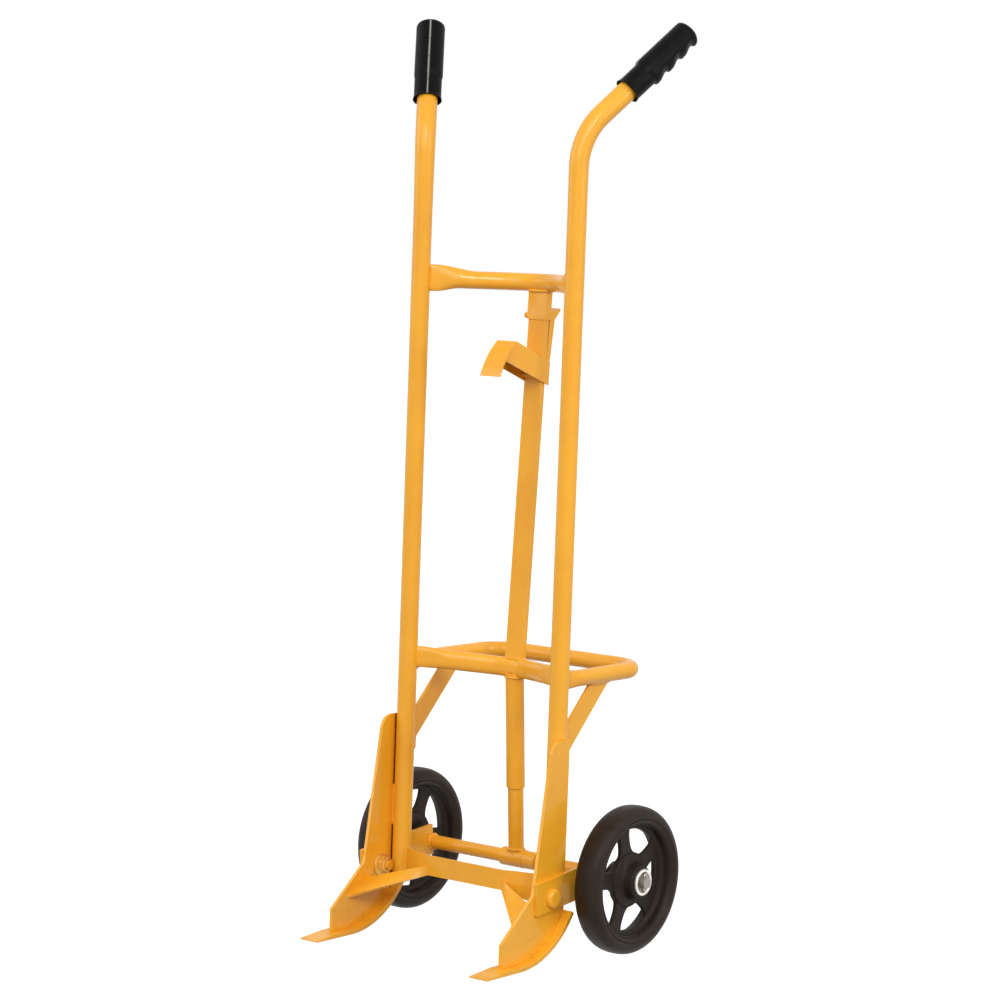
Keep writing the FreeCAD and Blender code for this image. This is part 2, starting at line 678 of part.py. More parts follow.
# Toe straps: wide bars that twist from the cross plate's ends to a sloping weld on each toe plate
strap_far = [("-strap_end_reach", "strap_end_height"),
             ("strap_end_width * cos(strap_end_slope) - strap_end_reach",
              "strap_end_height + strap_end_width * sin(strap_end_slope)")]
strap_drop_back = "cross_plate_thickness * sin(strap_end_slope)"
strap_drop_down = "cross_plate_thickness * cos(strap_end_slope)"
strap_far += [(f"{across} + {strap_drop_back}", f"{up} - {strap_drop_down}")
              for across, up in reversed(strap_far)]
strap_near = [("-cross_plate_front", "cross_plate_bottom"),
              ("-cross_plate_front", "cross_plate_bottom + strap_height"),
              ("cross_plate_thickness - cross_plate_front", "cross_plate_bottom + strap_height"),
              ("cross_plate_thickness - cross_plate_front", "cross_plate_bottom")]
for word, side in sides.items():
    near = outline(f"{word}_strap_near", strap_near, f"{side} * cross_plate_half_length",
                   behind("0"), "0", side_plane)
    far = outline(f"{word}_strap_far", strap_far, f"{side} * (plate_face - weld_gap)",
                  behind("0"), "0", side_plane)
    twist = doc.addObject("Part::Loft", f"{word}_strap_twist")
    twist.Sections = [near, far]
    twist.Solid = True
    twist.Ruled = True
    part(f"{word}_toe_strap", cut(f"{word}_toe_strap", twist, cross_plate))

# Axle brackets: flat bars outside the toe plates, ending in a saddle on the axle, one bolt each
bracket_length = "sqrt((bracket_front + axle_setback) ^ 2 + (bracket_rear_height - bracket_front_height) ^ 2)"
axle_envelope = on_axle("axle_envelope", "axle_diameter / 2 + weld_gap", "2 * axle_half_length",
                        "-axle_half_length")
bolts = []
washers = []
nuts = []
for word, side in sides.items():
    start = mirrored(side, plate_outer, "bracket_thickness")
    bar = box(f"{word}_bracket_bar", "bracket_thickness", bracket_length, "bracket_height", start,
              behind(f"bracket_height / 2 * sin({bracket_tilt}) - bracket_front"),
              f"bracket_front_height - bracket_height / 2 * cos({bracket_tilt})", ("1; 0; 0", bracket_tilt))
    hole = cylinder(f"{word}_bracket_hole", "bolt_diameter / 2 + bolt_clearance", "bracket_thickness",
                    start, *bolt_spot, along_x)
    part(f"{word}_axle_bracket", cut(f"{word}_axle_bracket", bar, hole, axle_envelope))
    outwards = ("0; 1; 0", "90" if side > 0 else "-90")
    nut_face = "(plate_face - weld_gap - washer_thickness)"
    bolt_end = f"({nut_face} - nut_height - bolt_tail)"
    head = cylinder(f"{word}_bolt_disc", "bolt_head_diameter / 2", "bolt_head_height",
                    f"{side} * bracket_face", *bolt_spot, outwards)
    crown = number("bracket_face + bolt_head_height")
    head = rounded(f"{word}_bolt_head", head, "bolt_head_round",
                   lambda edge: edge.BoundBox.XLength < 0.01 and abs(abs(edge.BoundBox.XMin) - crown) < 0.01)
    shank = cylinder(f"{word}_bolt_shank", "bolt_diameter / 2", f"bracket_face - {bolt_end}",
                     f"{side} * {bolt_end}", *bolt_spot, outwards)
    bolts.append(fuse(f"{word}_bolt", head, shank))
    bolt_hole = cylinder(f"{word}_bolt_hole", "bolt_diameter / 2 + weld_gap", "nut_height + washer_thickness",
                         f"{side} * ({nut_face} - nut_height)", *bolt_spot, outwards)
    washer = cylinder(f"{word}_washer_disc", "washer_diameter / 2", "washer_thickness",
                      f"{side} * {nut_face}", *bolt_spot, outwards)
    washers.append(cut(f"{word}_washer", washer, bolt_hole))
    hexagon = doc.addObject("Part::Prism", f"{word}_nut_block")
    hexagon.Polygon = 6
    drive(hexagon, Circumradius="nut_width / 2 / cos(30)", Height="nut_height")
    place(hexagon, f"{side} * ({nut_face} - nut_height)", *bolt_spot, outwards)
    nuts.append(cut(f"{word}_nut", hexagon, bolt_hole))
part("bracket_bolts", group("bracket_bolts", *bolts))
part("bracket_washers", group("bracket_washers", *washers))
part("bracket_nuts", group("bracket_nuts", *nuts))

# Wheels: a solid rubber tyre on a five-spoke centre that turns on two ball bearings
spacers = []
axle_washers = []
for word, side in sides.items():
    tread = on_axle(f"{word}_tread", "wheel_diameter / 2", "tyre_width",
                    mirrored(side, "(wheel_centre_plane - tyre_width / 2)", "tyre_width"))
    radius = number("wheel_diameter / 2")
    tread = rounded(f"{word}_tread_rounded", tread, "tyre_shoulder_radius",
                    lambda edge: edge.BoundBox.XLength < 0.01 and edge.BoundBox.ZLength > radius)
    seat = on_axle(f"{word}_tyre_seat", "tyre_seat_diameter / 2", "tyre_width",
                   mirrored(side, "(wheel_centre_plane - tyre_width / 2)", "tyre_width"))
    part(f"{word}_tyre", cut(f"{word}_tyre", tread, seat))
    rim = ring(f"{word}_rim", "tyre_seat_diameter / 2", "rim_inner_diameter / 2", "rim_width",
               mirrored(side, "(wheel_centre_plane - rim_width / 2)", "rim_width"))
    spoke_reach = "(tyre_seat_diameter + rim_inner_diameter) / 4"
    web = ring(f"{word}_web_ring", spoke_reach, "web_inner_diameter / 2", "spoke_thickness",
               mirrored(side, "(wheel_centre_plane - spoke_thickness / 2)", "spoke_thickness"))
    spokes = []
    for count in range(int(number("spoke_count"))):
        angle = f"{word}_spoke_angle + {count} * 360 / spoke_count"
        spokes.append(box(f"{word}_spoke_{count}", "spoke_thickness", spoke_reach, "spoke_width",
                          f"{side} * wheel_centre_plane - spoke_thickness / 2",
                          behind(f"axle_setback + spoke_width / 2 * sin({angle})"),
                          f"axle_height - spoke_width / 2 * cos({angle})", ("1; 0; 0", angle)))
    flange = on_axle(f"{word}_hub_flange", "hub_flange_diameter / 2", "hub_flange_thickness",
                     mirrored(side, "(wheel_centre_plane - hub_flange_thickness / 2)",
                              "hub_flange_thickness"))
    hub_start = "(wheel_centre_plane - hub_width / 2)"
    hub_end = "(wheel_centre_plane + hub_width / 2)"
    hub = on_axle(f"{word}_hub", "hub_diameter / 2", "hub_width", mirrored(side, hub_start, "hub_width"))
    bore = on_axle(f"{word}_hub_bore", "hub_bore_diameter / 2", "hub_width",
                   mirrored(side, hub_start, "hub_width"))
    starts = {"inner": hub_start, "outer": f"({hub_end} - bearing_width)"}
    seats = [on_axle(f"{word}_{spot}_seat", "bearing_diameter / 2", "bearing_width",
                     mirrored(side, start, "bearing_width")) for spot, start in starts.items()]
    centre = fuse(f"{word}_centre_outside", rim, web, flange, hub, *spokes)
    part(f"{word}_wheel_centre", cut(f"{word}_wheel_centre", centre, bore, *seats))
    bearings = [ring(f"{word}_{spot}_bearing", "bearing_diameter / 2",
                     "journal_diameter / 2 + running_clearance", "bearing_width",
                     mirrored(side, start, "bearing_width")) for spot, start in starts.items()]
    part(f"{word}_wheel_bearings", group(f"{word}_wheel_bearings", *bearings))
    spacer_length = f"({hub_start} - side_clearance - journal_start - weld_gap)"
    spacers.append(ring(f"{word}_axle_spacer", "axle_spacer_diameter / 2", "journal_diameter / 2 + weld_gap",
                        spacer_length, mirrored(side, "(journal_start + weld_gap)", spacer_length)))
    axle_washers.append(ring(f"{word}_axle_washer", "axle_washer_diameter / 2",
                             "journal_diameter / 2 + weld_gap", "axle_washer_thickness",
                             mirrored(side, f"({hub_end} + side_clearance)", "axle_washer_thickness")))
part("axle_spacers", group("axle_spacers", *spacers))
part("axle_washers", group("axle_washers", *axle_washers))

# Chime hook: a folded sheet channel that slides on the rail, with a lever behind and a pin in front
channel_width = "(rail_width + 2 * hook_side_clearance + 2 * hook_sheet)"
hook_rest = f"({sleeve_start} - hook_drop)"


def on_hook(height):
    return f"{hook_rest} + {height}" if height[0] != "-" else f"{hook_rest} {height}"


cheek_corners = [("hook_rear_reach", on_hook("hook_rear_rise")),
                 ("-hook_crown_reach", on_hook("hook_crown_rise")),
                 ("-hook_brow_reach", on_hook("hook_brow_rise")),
                 ("hook_rear_reach", on_hook("-hook_rear_drop"))]
cheeks = [plate(f"{word}_cheek", cheek_corners, "hook_sheet",
                mirrored(side, f"({channel_width} / 2 - hook_sheet)", "hook_sheet"), "0", "0", side_plane)
          for word, side in sides.items()]
roof_slope = "((hook_crown_rise - hook_rear_rise) / (hook_crown_reach + hook_rear_reach))"
roof_rear = f"(hook_rear_rise + (hook_rear_reach + hook_web_rear) * {roof_slope})"
nose_middle_reach = "((hook_crown_reach + hook_tip_reach) / 2 + hook_nose_bulge * 0.8)"
nose_middle_rise = "((hook_crown_rise - hook_tip_drop) / 2 + hook_nose_bulge * 0.6)"
web_corners = [("-hook_web_rear", on_hook(roof_rear)), ("-hook_crown_reach", on_hook("hook_crown_rise")),
               (f"-{nose_middle_reach}", on_hook(nose_middle_rise), "arc"),
               ("-hook_tip_reach", on_hook("-hook_tip_drop")),
               ("hook_sheet - hook_tip_reach", on_hook("-hook_tip_drop")),
               (f"hook_sheet * 0.8 - {nose_middle_reach}",
                on_hook(f"({nose_middle_rise} - hook_sheet * 0.6)"), "arc"),
               ("hook_sheet / 2 - hook_crown_reach", on_hook("(hook_crown_rise - hook_sheet)")),
               ("-hook_web_rear", on_hook(f"({roof_rear} - hook_sheet)"))]
web = plate("hook_web", web_corners, channel_width, f"-{channel_width} / 2", "0", "0", side_plane)
pin_spot = ("-rail_depth / 2 - hook_pin_gap - hook_pin_diameter / 2", on_hook("-hook_pin_drop"))
pin_hole = cylinder("hook_pin_hole", "hook_pin_diameter / 2 + weld_gap", channel_width,
                    f"-{channel_width} / 2", *pin_spot, along_x)
part("hook_channel", on_rail(cut("hook_channel", fuse("hook_folded", web, *cheeks), pin_hole)))
pin = cylinder("hook_pin", "hook_pin_diameter / 2", f"{channel_width} + 2 * hook_pin_proud",
               f"-{channel_width} / 2 - hook_pin_proud", *pin_spot, along_x)
part("hook_cross_pin", on_rail(group("hook_cross_pin", pin)))
lever_face = "(rail_depth / 2 + lever_gap)"
lever_front = f"({sleeve_depth} / 2 + lever_gap)"
lever_corners = [(lever_face, on_hook("-lever_foot_drop")),
                 (f"{lever_face} + hook_sheet", on_hook("-lever_foot_drop")),
                 ("lever_knee_reach", on_hook("lever_knee_rise")),
                 ("lever_neck_reach", on_hook("lever_neck_rise")),
                 ("lever_top_reach", on_hook("lever_top_rise")),
                 ("lever_top_reach - hook_sheet", on_hook("(lever_top_rise + hook_sheet)")),
                 ("lever_neck_reach", on_hook("(lever_top_rise - hook_sheet)")),
                 (lever_front, on_hook("lever_top_rise")), (lever_front, on_hook("lever_front_rise")),
                 (lever_face, on_hook("lever_knee_rise"))]
lever_width = "(rail_width + 2 * hook_side_clearance - 2 * weld_gap)"
lever = plate("lever_strip", lever_corners, lever_width, f"-{lever_width} / 2", "0", "0", side_plane)
part("hook_lever", on_rail(group("hook_lever", lever)))

# Every piece is checked before it is written
doc.recompute()
for piece in doc.Objects:
    if "Invalid" in piece.State or "Error" in piece.State:
        raise RuntimeError(f"{piece.Name} did not build: {piece.State}")
os.makedirs("parts", exist_ok=True)
for piece in parts:
    shape = piece.Shape
    if shape.isNull() or not shape.isValid() or shape.Volume <= 0:
        raise RuntimeError(f"{piece.Label} has no valid solid")
    shape.exportStep(f"parts/{piece.Label}.step")
    print(piece.Label, len(shape.Solids), round(shape.Volume))
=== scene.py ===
import json
import math
import bmesh
import bpy
import numpy as np
from mathutils import Matrix, Vector


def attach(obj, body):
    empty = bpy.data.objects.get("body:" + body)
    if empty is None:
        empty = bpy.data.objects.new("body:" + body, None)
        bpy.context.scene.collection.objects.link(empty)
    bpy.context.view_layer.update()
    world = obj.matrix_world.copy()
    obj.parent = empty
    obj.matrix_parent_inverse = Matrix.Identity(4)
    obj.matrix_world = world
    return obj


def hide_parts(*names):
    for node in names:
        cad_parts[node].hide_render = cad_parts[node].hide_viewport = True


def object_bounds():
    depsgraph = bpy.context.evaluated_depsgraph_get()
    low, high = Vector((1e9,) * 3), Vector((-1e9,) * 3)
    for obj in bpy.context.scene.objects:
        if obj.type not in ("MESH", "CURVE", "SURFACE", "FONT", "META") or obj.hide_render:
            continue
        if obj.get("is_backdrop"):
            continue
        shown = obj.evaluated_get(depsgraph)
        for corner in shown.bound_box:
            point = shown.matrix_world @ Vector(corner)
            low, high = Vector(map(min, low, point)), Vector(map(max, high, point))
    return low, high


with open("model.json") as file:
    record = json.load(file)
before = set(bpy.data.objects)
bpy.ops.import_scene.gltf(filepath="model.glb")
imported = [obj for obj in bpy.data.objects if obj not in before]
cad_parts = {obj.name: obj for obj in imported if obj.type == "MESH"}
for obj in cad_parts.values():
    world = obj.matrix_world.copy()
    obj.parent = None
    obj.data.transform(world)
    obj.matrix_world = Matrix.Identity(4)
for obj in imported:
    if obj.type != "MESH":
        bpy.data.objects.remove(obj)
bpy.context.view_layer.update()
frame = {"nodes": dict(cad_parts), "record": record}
nodes = frame["nodes"]
print("frame loaded:", len(nodes), "nodes")

# Shared places in metres: Y of the uprights, and the lines that other pieces hang on
trolley = {"backset": -0.022, "uprightX": 0.163, "tubeRadius": 0.016, "axleY": 0.091, "axleZ": 0.125,
           "lowerBarZ": 0.457, "upperBarZ": 1.113, "loopZ": 0.461, "lowerBow": 0.089, "upperBow": 0.124,
           "plateFace": 0.1791, "axlePaintEnd": 0.1935}
sides = {"left": -1, "right": 1}


# A socket of a node tree; sums and products of sockets add their own Math nodes
class Wire:
    def __init__(self, graph, socket):
        self.graph = graph
        self.socket = socket

    def maths(self, operation, other=0.0, swapped=False):
        pair = [other, self] if swapped else [self, other]
        return self.graph.node("ShaderNodeMath", {"operation": operation}, dict(enumerate(pair)))

    def __add__(self, other):
        return self.maths("ADD", other)

    def __sub__(self, other):
        return self.maths("SUBTRACT", other)

    def __rsub__(self, other):
        return self.maths("SUBTRACT", other, True)

    def __mul__(self, other):
        return self.maths("MULTIPLY", other)

    def __gt__(self, other):
        return self.maths("GREATER_THAN", other)

    def __lt__(self, other):
        return self.maths("LESS_THAN", other)

    def __abs__(self):
        return self.maths("ABSOLUTE")

    __radd__ = __add__
    __rmul__ = __mul__


class Graph:
    def __init__(self, name):
        self.material = bpy.data.materials.new(name)
        self.material.use_nodes = True
        self.tree = self.material.node_tree
        self.shader = self.tree.nodes["Principled BSDF"]

    # Settings go on first, then each socket takes a value or a link; out names the output that comes back
    def node(self, kind, settings=None, sockets=None, out=0):
        made = self.tree.nodes.new(kind)
        for key, value in (settings or {}).items():
            setattr(made, key, value)
        for key, value in (sockets or {}).items():
            if isinstance(value, Wire):
                self.tree.links.new(value.socket, made.inputs[key])
            else:
                made.inputs[key].default_value = value
        return Wire(self, made.outputs[out])

    def feed(self, **sockets):
        for key, value in sockets.items():
            target = self.shader.inputs[key.replace("_", " ")]
            if isinstance(value, Wire):
                self.tree.links.new(value.socket, target)
            else:
                target.default_value = value

    def place(self):
        return self.node("ShaderNodeTexCoord", out="Object")

    def axis(self, letter):
        return self.node("ShaderNodeSeparateXYZ", None, {0: self.place()}, out=letter)

    def noise(self, scale, detail=4.0, rough=0.55, stretch=(1, 1, 1)):
        spot = self.node("ShaderNodeMapping", None, {"Vector": self.place(), "Scale": stretch})
        return self.node("ShaderNodeTexNoise", {"noise_dimensions": "3D"},
                         {"Vector": spot, "Scale": scale, "Detail": detail, "Roughness": rough}, out="Fac")

    def band(self, value, low, high, first=0.0, last=1.0):
        return self.node("ShaderNodeMapRange", {"clamp": True},
                         {"Value": value, "From Min": low, "From Max": high, "To Min": first, "To Max": last})

    def mix(self, share, first, second):
        return self.node("ShaderNodeMix", {"data_type": "RGBA"}, {0: share, 6: first, 7: second}, out=2)

    def bump(self, height, strength, distance):
        return self.node("ShaderNodeBump", None, {"Height": height, "Strength": strength, "Distance": distance})


# Screen bytes to linear light
def rgb(red, green, blue):
    linear = [c / 255 / 12.92 if c <= 10 else ((c / 255 + 0.055) / 1.055) ** 2.4 for c in (red, green, blue)]
    return (*linear, 1.0)


# The dark crevice colour is painted shade for the gap between a toe plate and its tube
paint = {"body": rgb(243, 172, 36), "deep": rgb(237, 164, 31), "pale": rgb(246, 181, 52), "grime": rgb(140, 92, 36),
         "bare": rgb(150, 146, 138), "crevice": rgb(84, 54, 16), "scuffBelow": 0.0004, "grimeBelow": 0.10,
         "roughness": 0.44, "coat": 0.36, "coatRoughness": 0.12, "specular": 0.30, "driftScale": 7.0,
         "cloudScale": 38.0, "grimeScale": 55.0, "scuffScale": 140.0, "rubScale": 60.0, "peelScale": 420.0,
         "peelDepth": 0.0005, "creviceFrom": 0.0112, "creviceFull": 0.0088, "creviceDeep": 0.0006, "weldFrom": 0.173,
         "weldTo": 0.243}


# Powder coat: slow colour drift, fine orange peel, a little grime low down and bare steel where soles meet the floor;
# a painted shade darkens the inner face of a toe plate beside its tube, in the gap between them, except along the
# weld
def paintFinish(name, bareBeyond=None, rubbed=False, crevice=False):
    g = Graph(name)
    drift = g.noise(paint["driftScale"], 3.0)
    cloud = g.noise(paint["cloudScale"], 5.0)
    colour = g.mix(g.band(drift, 0.35, 0.65), paint["deep"], paint["body"])
    colour = g.mix(g.band(cloud, 0.5, 0.8) * 0.4, colour, paint["pale"])
    height = g.axis("Z")
    patches = g.band(g.noise(paint["grimeScale"], 6.0, 0.7), 0.5, 0.72)
    low = g.band(height, paint["grimeBelow"], 0.0) * patches * 0.3
    colour = g.mix(low, colour, paint["grime"])
    # Painted shade: the gap between the toe plate and its tube is darkened in the colour itself
    if crevice:
        near = g.band(abs(g.axis("Y") - trolley["backset"]), paint["creviceFrom"], paint["creviceFull"])
        inner = abs(g.axis("X")) < trolley["plateFace"] + paint["creviceDeep"]
        unwelded = (height < paint["weldFrom"]) + (height > paint["weldTo"])
        colour = g.mix(near * inner * unwelded * 0.9, colour, paint["crevice"])
    worn = (height < paint["scuffBelow"]) * g.band(g.noise(paint["scuffScale"], 5.0), 0.42, 0.55)
    if bareBeyond:
        worn = worn + (abs(g.axis("X")) > bareBeyond)
    if rubbed:
        worn = worn + g.band(g.noise(paint["rubScale"], 6.0, 0.6, (9, 9, 0.35)), 0.76, 0.82) * 0.6
    worn = g.node("ShaderNodeClamp", None, {0: worn})
    colour = g.mix(worn, colour, paint["bare"])
    rough = paint["roughness"] + g.band(cloud, 0.3, 0.8) * 0.1 + low * 0.3
    peel = g.bump(g.noise(paint["peelScale"], 2.0), 0.05, paint["peelDepth"])
    g.feed(Base_Color=colour, Roughness=rough, Metallic=worn * 0.9, Normal=peel, Coat_Weight=paint["coat"],
           Coat_Roughness=paint["coatRoughness"], Specular_IOR_Level=paint["specular"])
    return g.material


rubber = {"dust": rgb(96, 84, 70), "cloudScale": 26.0, "dustScale": 90.0, "seamScale": 120.0, "sheenScale": 60.0,
          "grainDepth": 0.0004}


# Black moulded rubber: fine grain, faint paler bloom and a satin sheen; a seam attribute paints a pale highlight
# along the parting line
def rubberFinish(name, dark, bloom, roughness, grain, dusty=0.0, seamAndHighlight=None, shine=0.16):
    g = Graph(name)
    cloud = g.noise(rubber["cloudScale"], 5.0, 0.65)
    colour = g.mix(g.band(cloud, 0.42, 0.78) * 0.5, dark, bloom)
    if dusty:
        dust = g.band(g.noise(rubber["dustScale"], 6.0, 0.7), 0.52, 0.75) * dusty
        colour = g.mix(dust, colour, rubber["dust"])
    # Painted highlight: the pale colour along the seam stands in for light caught by the ridge
    if seamAndHighlight:
        line = g.node("ShaderNodeAttribute", {"attribute_name": "seamLine"}, out="Fac")
        colour = g.mix(line * g.band(g.noise(rubber["seamScale"], 4.0), 0.25, 0.45), colour, seamAndHighlight)
    rough = roughness + g.band(g.noise(rubber["sheenScale"], 4.0), 0.3, 0.8) * 0.14
    pores = g.bump(g.noise(grain, 3.0), 0.12, rubber["grainDepth"])
    g.feed(Base_Color=colour, Roughness=rough, Normal=pores, Specular_IOR_Level=shine)
    return g.material


steel = {"streakScale": 240.0, "cloudScale": 70.0, "streakDepth": 0.0003, "innerEdge": 0.0008}


# Turned or plated steel: streaks round the axle direction with cloudy tint changes; within an inner radius of the
# axle line, if one is given, the face is duller and darker
def steelFinish(name, first, second, roughness, inner=None, dull=None):
    g = Graph(name)
    streak = g.noise(steel["streakScale"], 4.0, 0.6, (8, 1, 1))
    cloud = g.noise(steel["cloudScale"], 4.0)
    colour = g.mix(g.band(cloud, 0.35, 0.68), first, second)
    rough = roughness + g.band(streak, 0.3, 0.75) * 0.2
    if inner:
        across = g.axis("Y") - trolley["axleY"]
        up = g.axis("Z") - trolley["axleZ"]
        radius = (across * across + up * up).maths("SQRT")
        within = g.band(radius, inner, inner - steel["innerEdge"])
        colour = g.mix(within * g.band(cloud, 0.25, 0.6, 0.7, 1.0), colour, dull)
        rough = rough + within * 0.15
    marks = g.bump(streak, 0.04, steel["streakDepth"])
    g.feed(Base_Color=colour, Roughness=rough, Metallic=1.0, Normal=marks)
    return g.material


amberPaint = paintFinish("amberPaint")
platePaint = paintFinish("platePaint", crevice=True)
railPaint = paintFinish("railPaint", rubbed=True)
axlePaint = paintFinish("axlePaint", bareBeyond=trolley["axlePaintEnd"])
# The grip's pale seam colour is a painted highlight along the top ridge
gripRubber = rubberFinish("gripRubber", dark=rgb(10, 9, 8), bloom=rgb(20, 19, 17), roughness=0.38, grain=900.0,
                          seamAndHighlight=rgb(176, 174, 168), shine=0.08)
tyreRubber = rubberFinish("tyreRubber", dark=rgb(36, 27, 19), bloom=rgb(52, 40, 29), roughness=0.42, grain=700.0,
                          dusty=0.10)
wheelPlastic = rubberFinish("wheelPlastic", dark=rgb(33, 25, 18), bloom=rgb(45, 35, 26), roughness=0.46,
                            grain=500.0, dusty=0.06)
brightSteel = steelFinish("brightSteel", rgb(206, 204, 198), rgb(168, 164, 156), roughness=0.22)
polishedSteel = steelFinish("polishedSteel", rgb(236, 233, 226), rgb(214, 210, 202), roughness=0.34,
                            inner=0.0176, dull=rgb(128, 120, 108))
yellowZinc = steelFinish("yellowZinc", rgb(238, 204, 124), rgb(224, 186, 104), roughness=0.36)
finishes = {"frame_paint": amberPaint, "yellow_zinc": yellowZinc, "bright_steel": brightSteel,
            "grip_rubber": gripRubber, "tyre_rubber": tyreRubber, "wheel_plastic": wheelPlastic}
print("finishes made:", len(bpy.data.materials))


# Faces of a grid of points: rows run along the first count, and either way can wrap round
def gridFaces(rows, columns, wrapRows=False, wrapColumns=True):
    index = np.arange(rows * columns).reshape(rows, columns)
    if wrapRows:
        index = np.vstack([index, index[:1]])
    if wrapColumns:
        index = np.hstack([index, index[:, :1]])
    return np.stack([index[:-1, :-1], index[:-1, 1:], index[1:, 1:], index[1:, :-1]], -1).reshape(-1, 4)


# A skin is points, quads and triangles; here each end row of a grid is drawn together at its own middle point
def closedGrid(grid):
    rows, columns = grid.shape[:2]
    points = np.vstack([grid.reshape(-1, 3), grid[0].mean(0), grid[-1].mean(0)])
    ring = np.arange(columns)
    after = np.roll(ring, -1)
    last = (rows - 1) * columns
    pole = np.full(columns, rows * columns)
    caps = np.vstack([np.column_stack([pole, after, ring]), np.column_stack([pole + 1, last + ring, last + after])])
    return points, gridFaces(rows, columns), caps


# A ring-shaped skin: the last row of the grid meets the first again
def ringGrid(grid):
    return grid.reshape(-1, 3), gridFaces(*grid.shape[:2], True), np.empty((0, 3), int)


# Several skins as one, with their points numbered on
def joined(*skins):
    shifts = np.cumsum([0] + [len(skin[0]) for skin in skins[:-1]])
    quads = np.vstack([skin[1] + shift for skin, shift in zip(skins, shifts)])
    tris = np.vstack([skin[2] + shift for skin, shift in zip(skins, shifts)])
    return np.vstack([skin[0] for skin in skins]), quads, tris


# A piece from a skin: doubles merged, faces turned outwards and shaded smooth except at sharper edges
def makePiece(name, skin, finish, body, replaced=(), sharp=38.0, seamAndHighlight=None):
    mesh = bpy.data.meshes.new(name)
    mesh.from_pydata(skin[0].tolist(), [], skin[1].tolist() + skin[2].tolist())
    # The seam attribute marks where a painted highlight goes
    if seamAndHighlight is not None:
        mesh.attributes.new("seamLine", "FLOAT", "POINT").data.foreach_set("value", seamAndHighlight)
    work = bmesh.new()
    work.from_mesh(mesh)
    bmesh.ops.remove_doubles(work, verts=work.verts, dist=1e-6)
    bmesh.ops.recalc_face_normals(work, faces=work.faces)
    work.to_mesh(mesh)
    work.free()
    mesh.shade_smooth()
    mesh.set_sharp_from_angle(angle=math.radians(sharp))
    piece = bpy.data.objects.new(name, mesh)
    bpy.context.scene.collection.objects.link(piece)
    mesh.materials.append(finish)
    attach(piece, body)
    if replaced:
        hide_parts(*replaced)


# A smooth rise from 0 to 1 between two values
def smoothStep(value, low, high):
    t = np.clip((np.asarray(value, float) - low) / (high - low), 0, 1)
    return t * t * (3 - 2 * t)


# Vectors brought to a length of one
def unit(vectors):
    vectors = np.asarray(vectors, float)
    return vectors / np.linalg.norm(vectors, axis=-1, keepdims=True)


# How far along a path each of its points lies
def pathLength(path):
    return np.concatenate([[0], np.cumsum(np.linalg.norm(np.diff(path, axis=0), axis=1))])


# A tube: at every path point an ellipse stands square to the path; its half height along the lift direction is given
# for the upper and the lower side, and a power under one squares the ellipse up
def tubeGrid(path, top, low, halfWide, lift, around=56, power=1.0, looped=False):
    path = np.asarray(path, float)
    slope = np.roll(path, -1, 0) - np.roll(path, 1, 0) if looped else np.gradient(path, axis=0)
    tangent = unit(slope)
    across = unit(np.cross(tangent, np.broadcast_to(lift, path.shape)))
    upward = np.cross(across, tangent)
    angle = np.linspace(0, 2 * np.pi, around, endpoint=False)
    power = np.broadcast_to(power, len(path))[:, None]
    c = np.sign(np.cos(angle)) * np.abs(np.cos(angle)) ** power
    s = np.sign(np.sin(angle)) * np.abs(np.sin(angle)) ** power
    tall = np.where(s > 0, np.broadcast_to(top, len(path))[:, None], np.broadcast_to(low, len(path))[:, None]) * s
    wide = np.broadcast_to(halfWide, len(path))[:, None] * c
    return path[:, None] + wide[..., None] * across[:, None] + tall[..., None] * upward[:, None]


# A turned shape: a profile of distances along the axle and radii, carried once round the axle
def turned(profile, around):
    profile = np.asarray(profile, float)
    angle = np.linspace(0, 2 * np.pi, around, endpoint=False)
    grid = np.empty((len(profile), around, 3))
    grid[..., 0] = profile[:, :1]
    grid[..., 1] = trolley["axleY"] + profile[:, 1:] * np.cos(angle)
    grid[..., 2] = trolley["axleZ"] + profile[:, 1:] * np.sin(angle)
    return ringGrid(grid)


# Corners of an outline are eased: each corner becomes a curve that meets both edges at the given distance
def eased(corners, reach, steps=6):
    corners = np.asarray(corners, float)
    before = np.roll(corners, 1, 0) - corners
    after = np.roll(corners, -1, 0) - corners
    reach = np.broadcast_to(reach, len(corners))[:, None]
    shortest = np.minimum(np.linalg.norm(before, axis=1), np.linalg.norm(after, axis=1))[:, None]
    reach = np.minimum(reach, 0.48 * shortest)  # two curves never meet on one edge
    start = corners + unit(before) * reach
    end = corners + unit(after) * reach
    t = np.linspace(0, 1, steps)[None, :, None]
    curve = (1 - t) ** 2 * start[:, None] + 2 * t * (1 - t) * corners[:, None] + t ** 2 * end[:, None]
    return curve.reshape(-1, corners.shape[1])


upright = {"foot": 0.084, "bendHeight": 1.357, "bendRadius": 0.120, "wall": 0.0025, "inGrip": 0.142, "swell": 0.0015,
           "tilt": {"left": 29.0, "right": 47.3}, "azimuth": {"left": 52.0, "right": 62.0},
           "gripStart": {"left": 0.066, "right": 0.111}, "swellSpan": (-0.22, -0.03), "fadeSpan": (0.001, 0.012),
           "postRows": 40, "arcRows": 28, "handleRows": 90}


# Where a handle starts, the level direction it leans to, its axis and the side of it that faces down
def handleAxes(word):
    tilt = math.radians(upright["tilt"][word])
    turn = math.radians(upright["azimuth"][word])
    out = np.array([sides[word] * math.cos(turn), math.sin(turn), 0])
    up = np.array([0, 0, 1.0])
    knee = np.array([sides[word] * trolley["uprightX"], trolley["backset"], upright["bendHeight"]])
    return knee, out, math.sin(tilt) * out + math.cos(tilt) * up, math.cos(tilt) * out - math.sin(tilt) * up


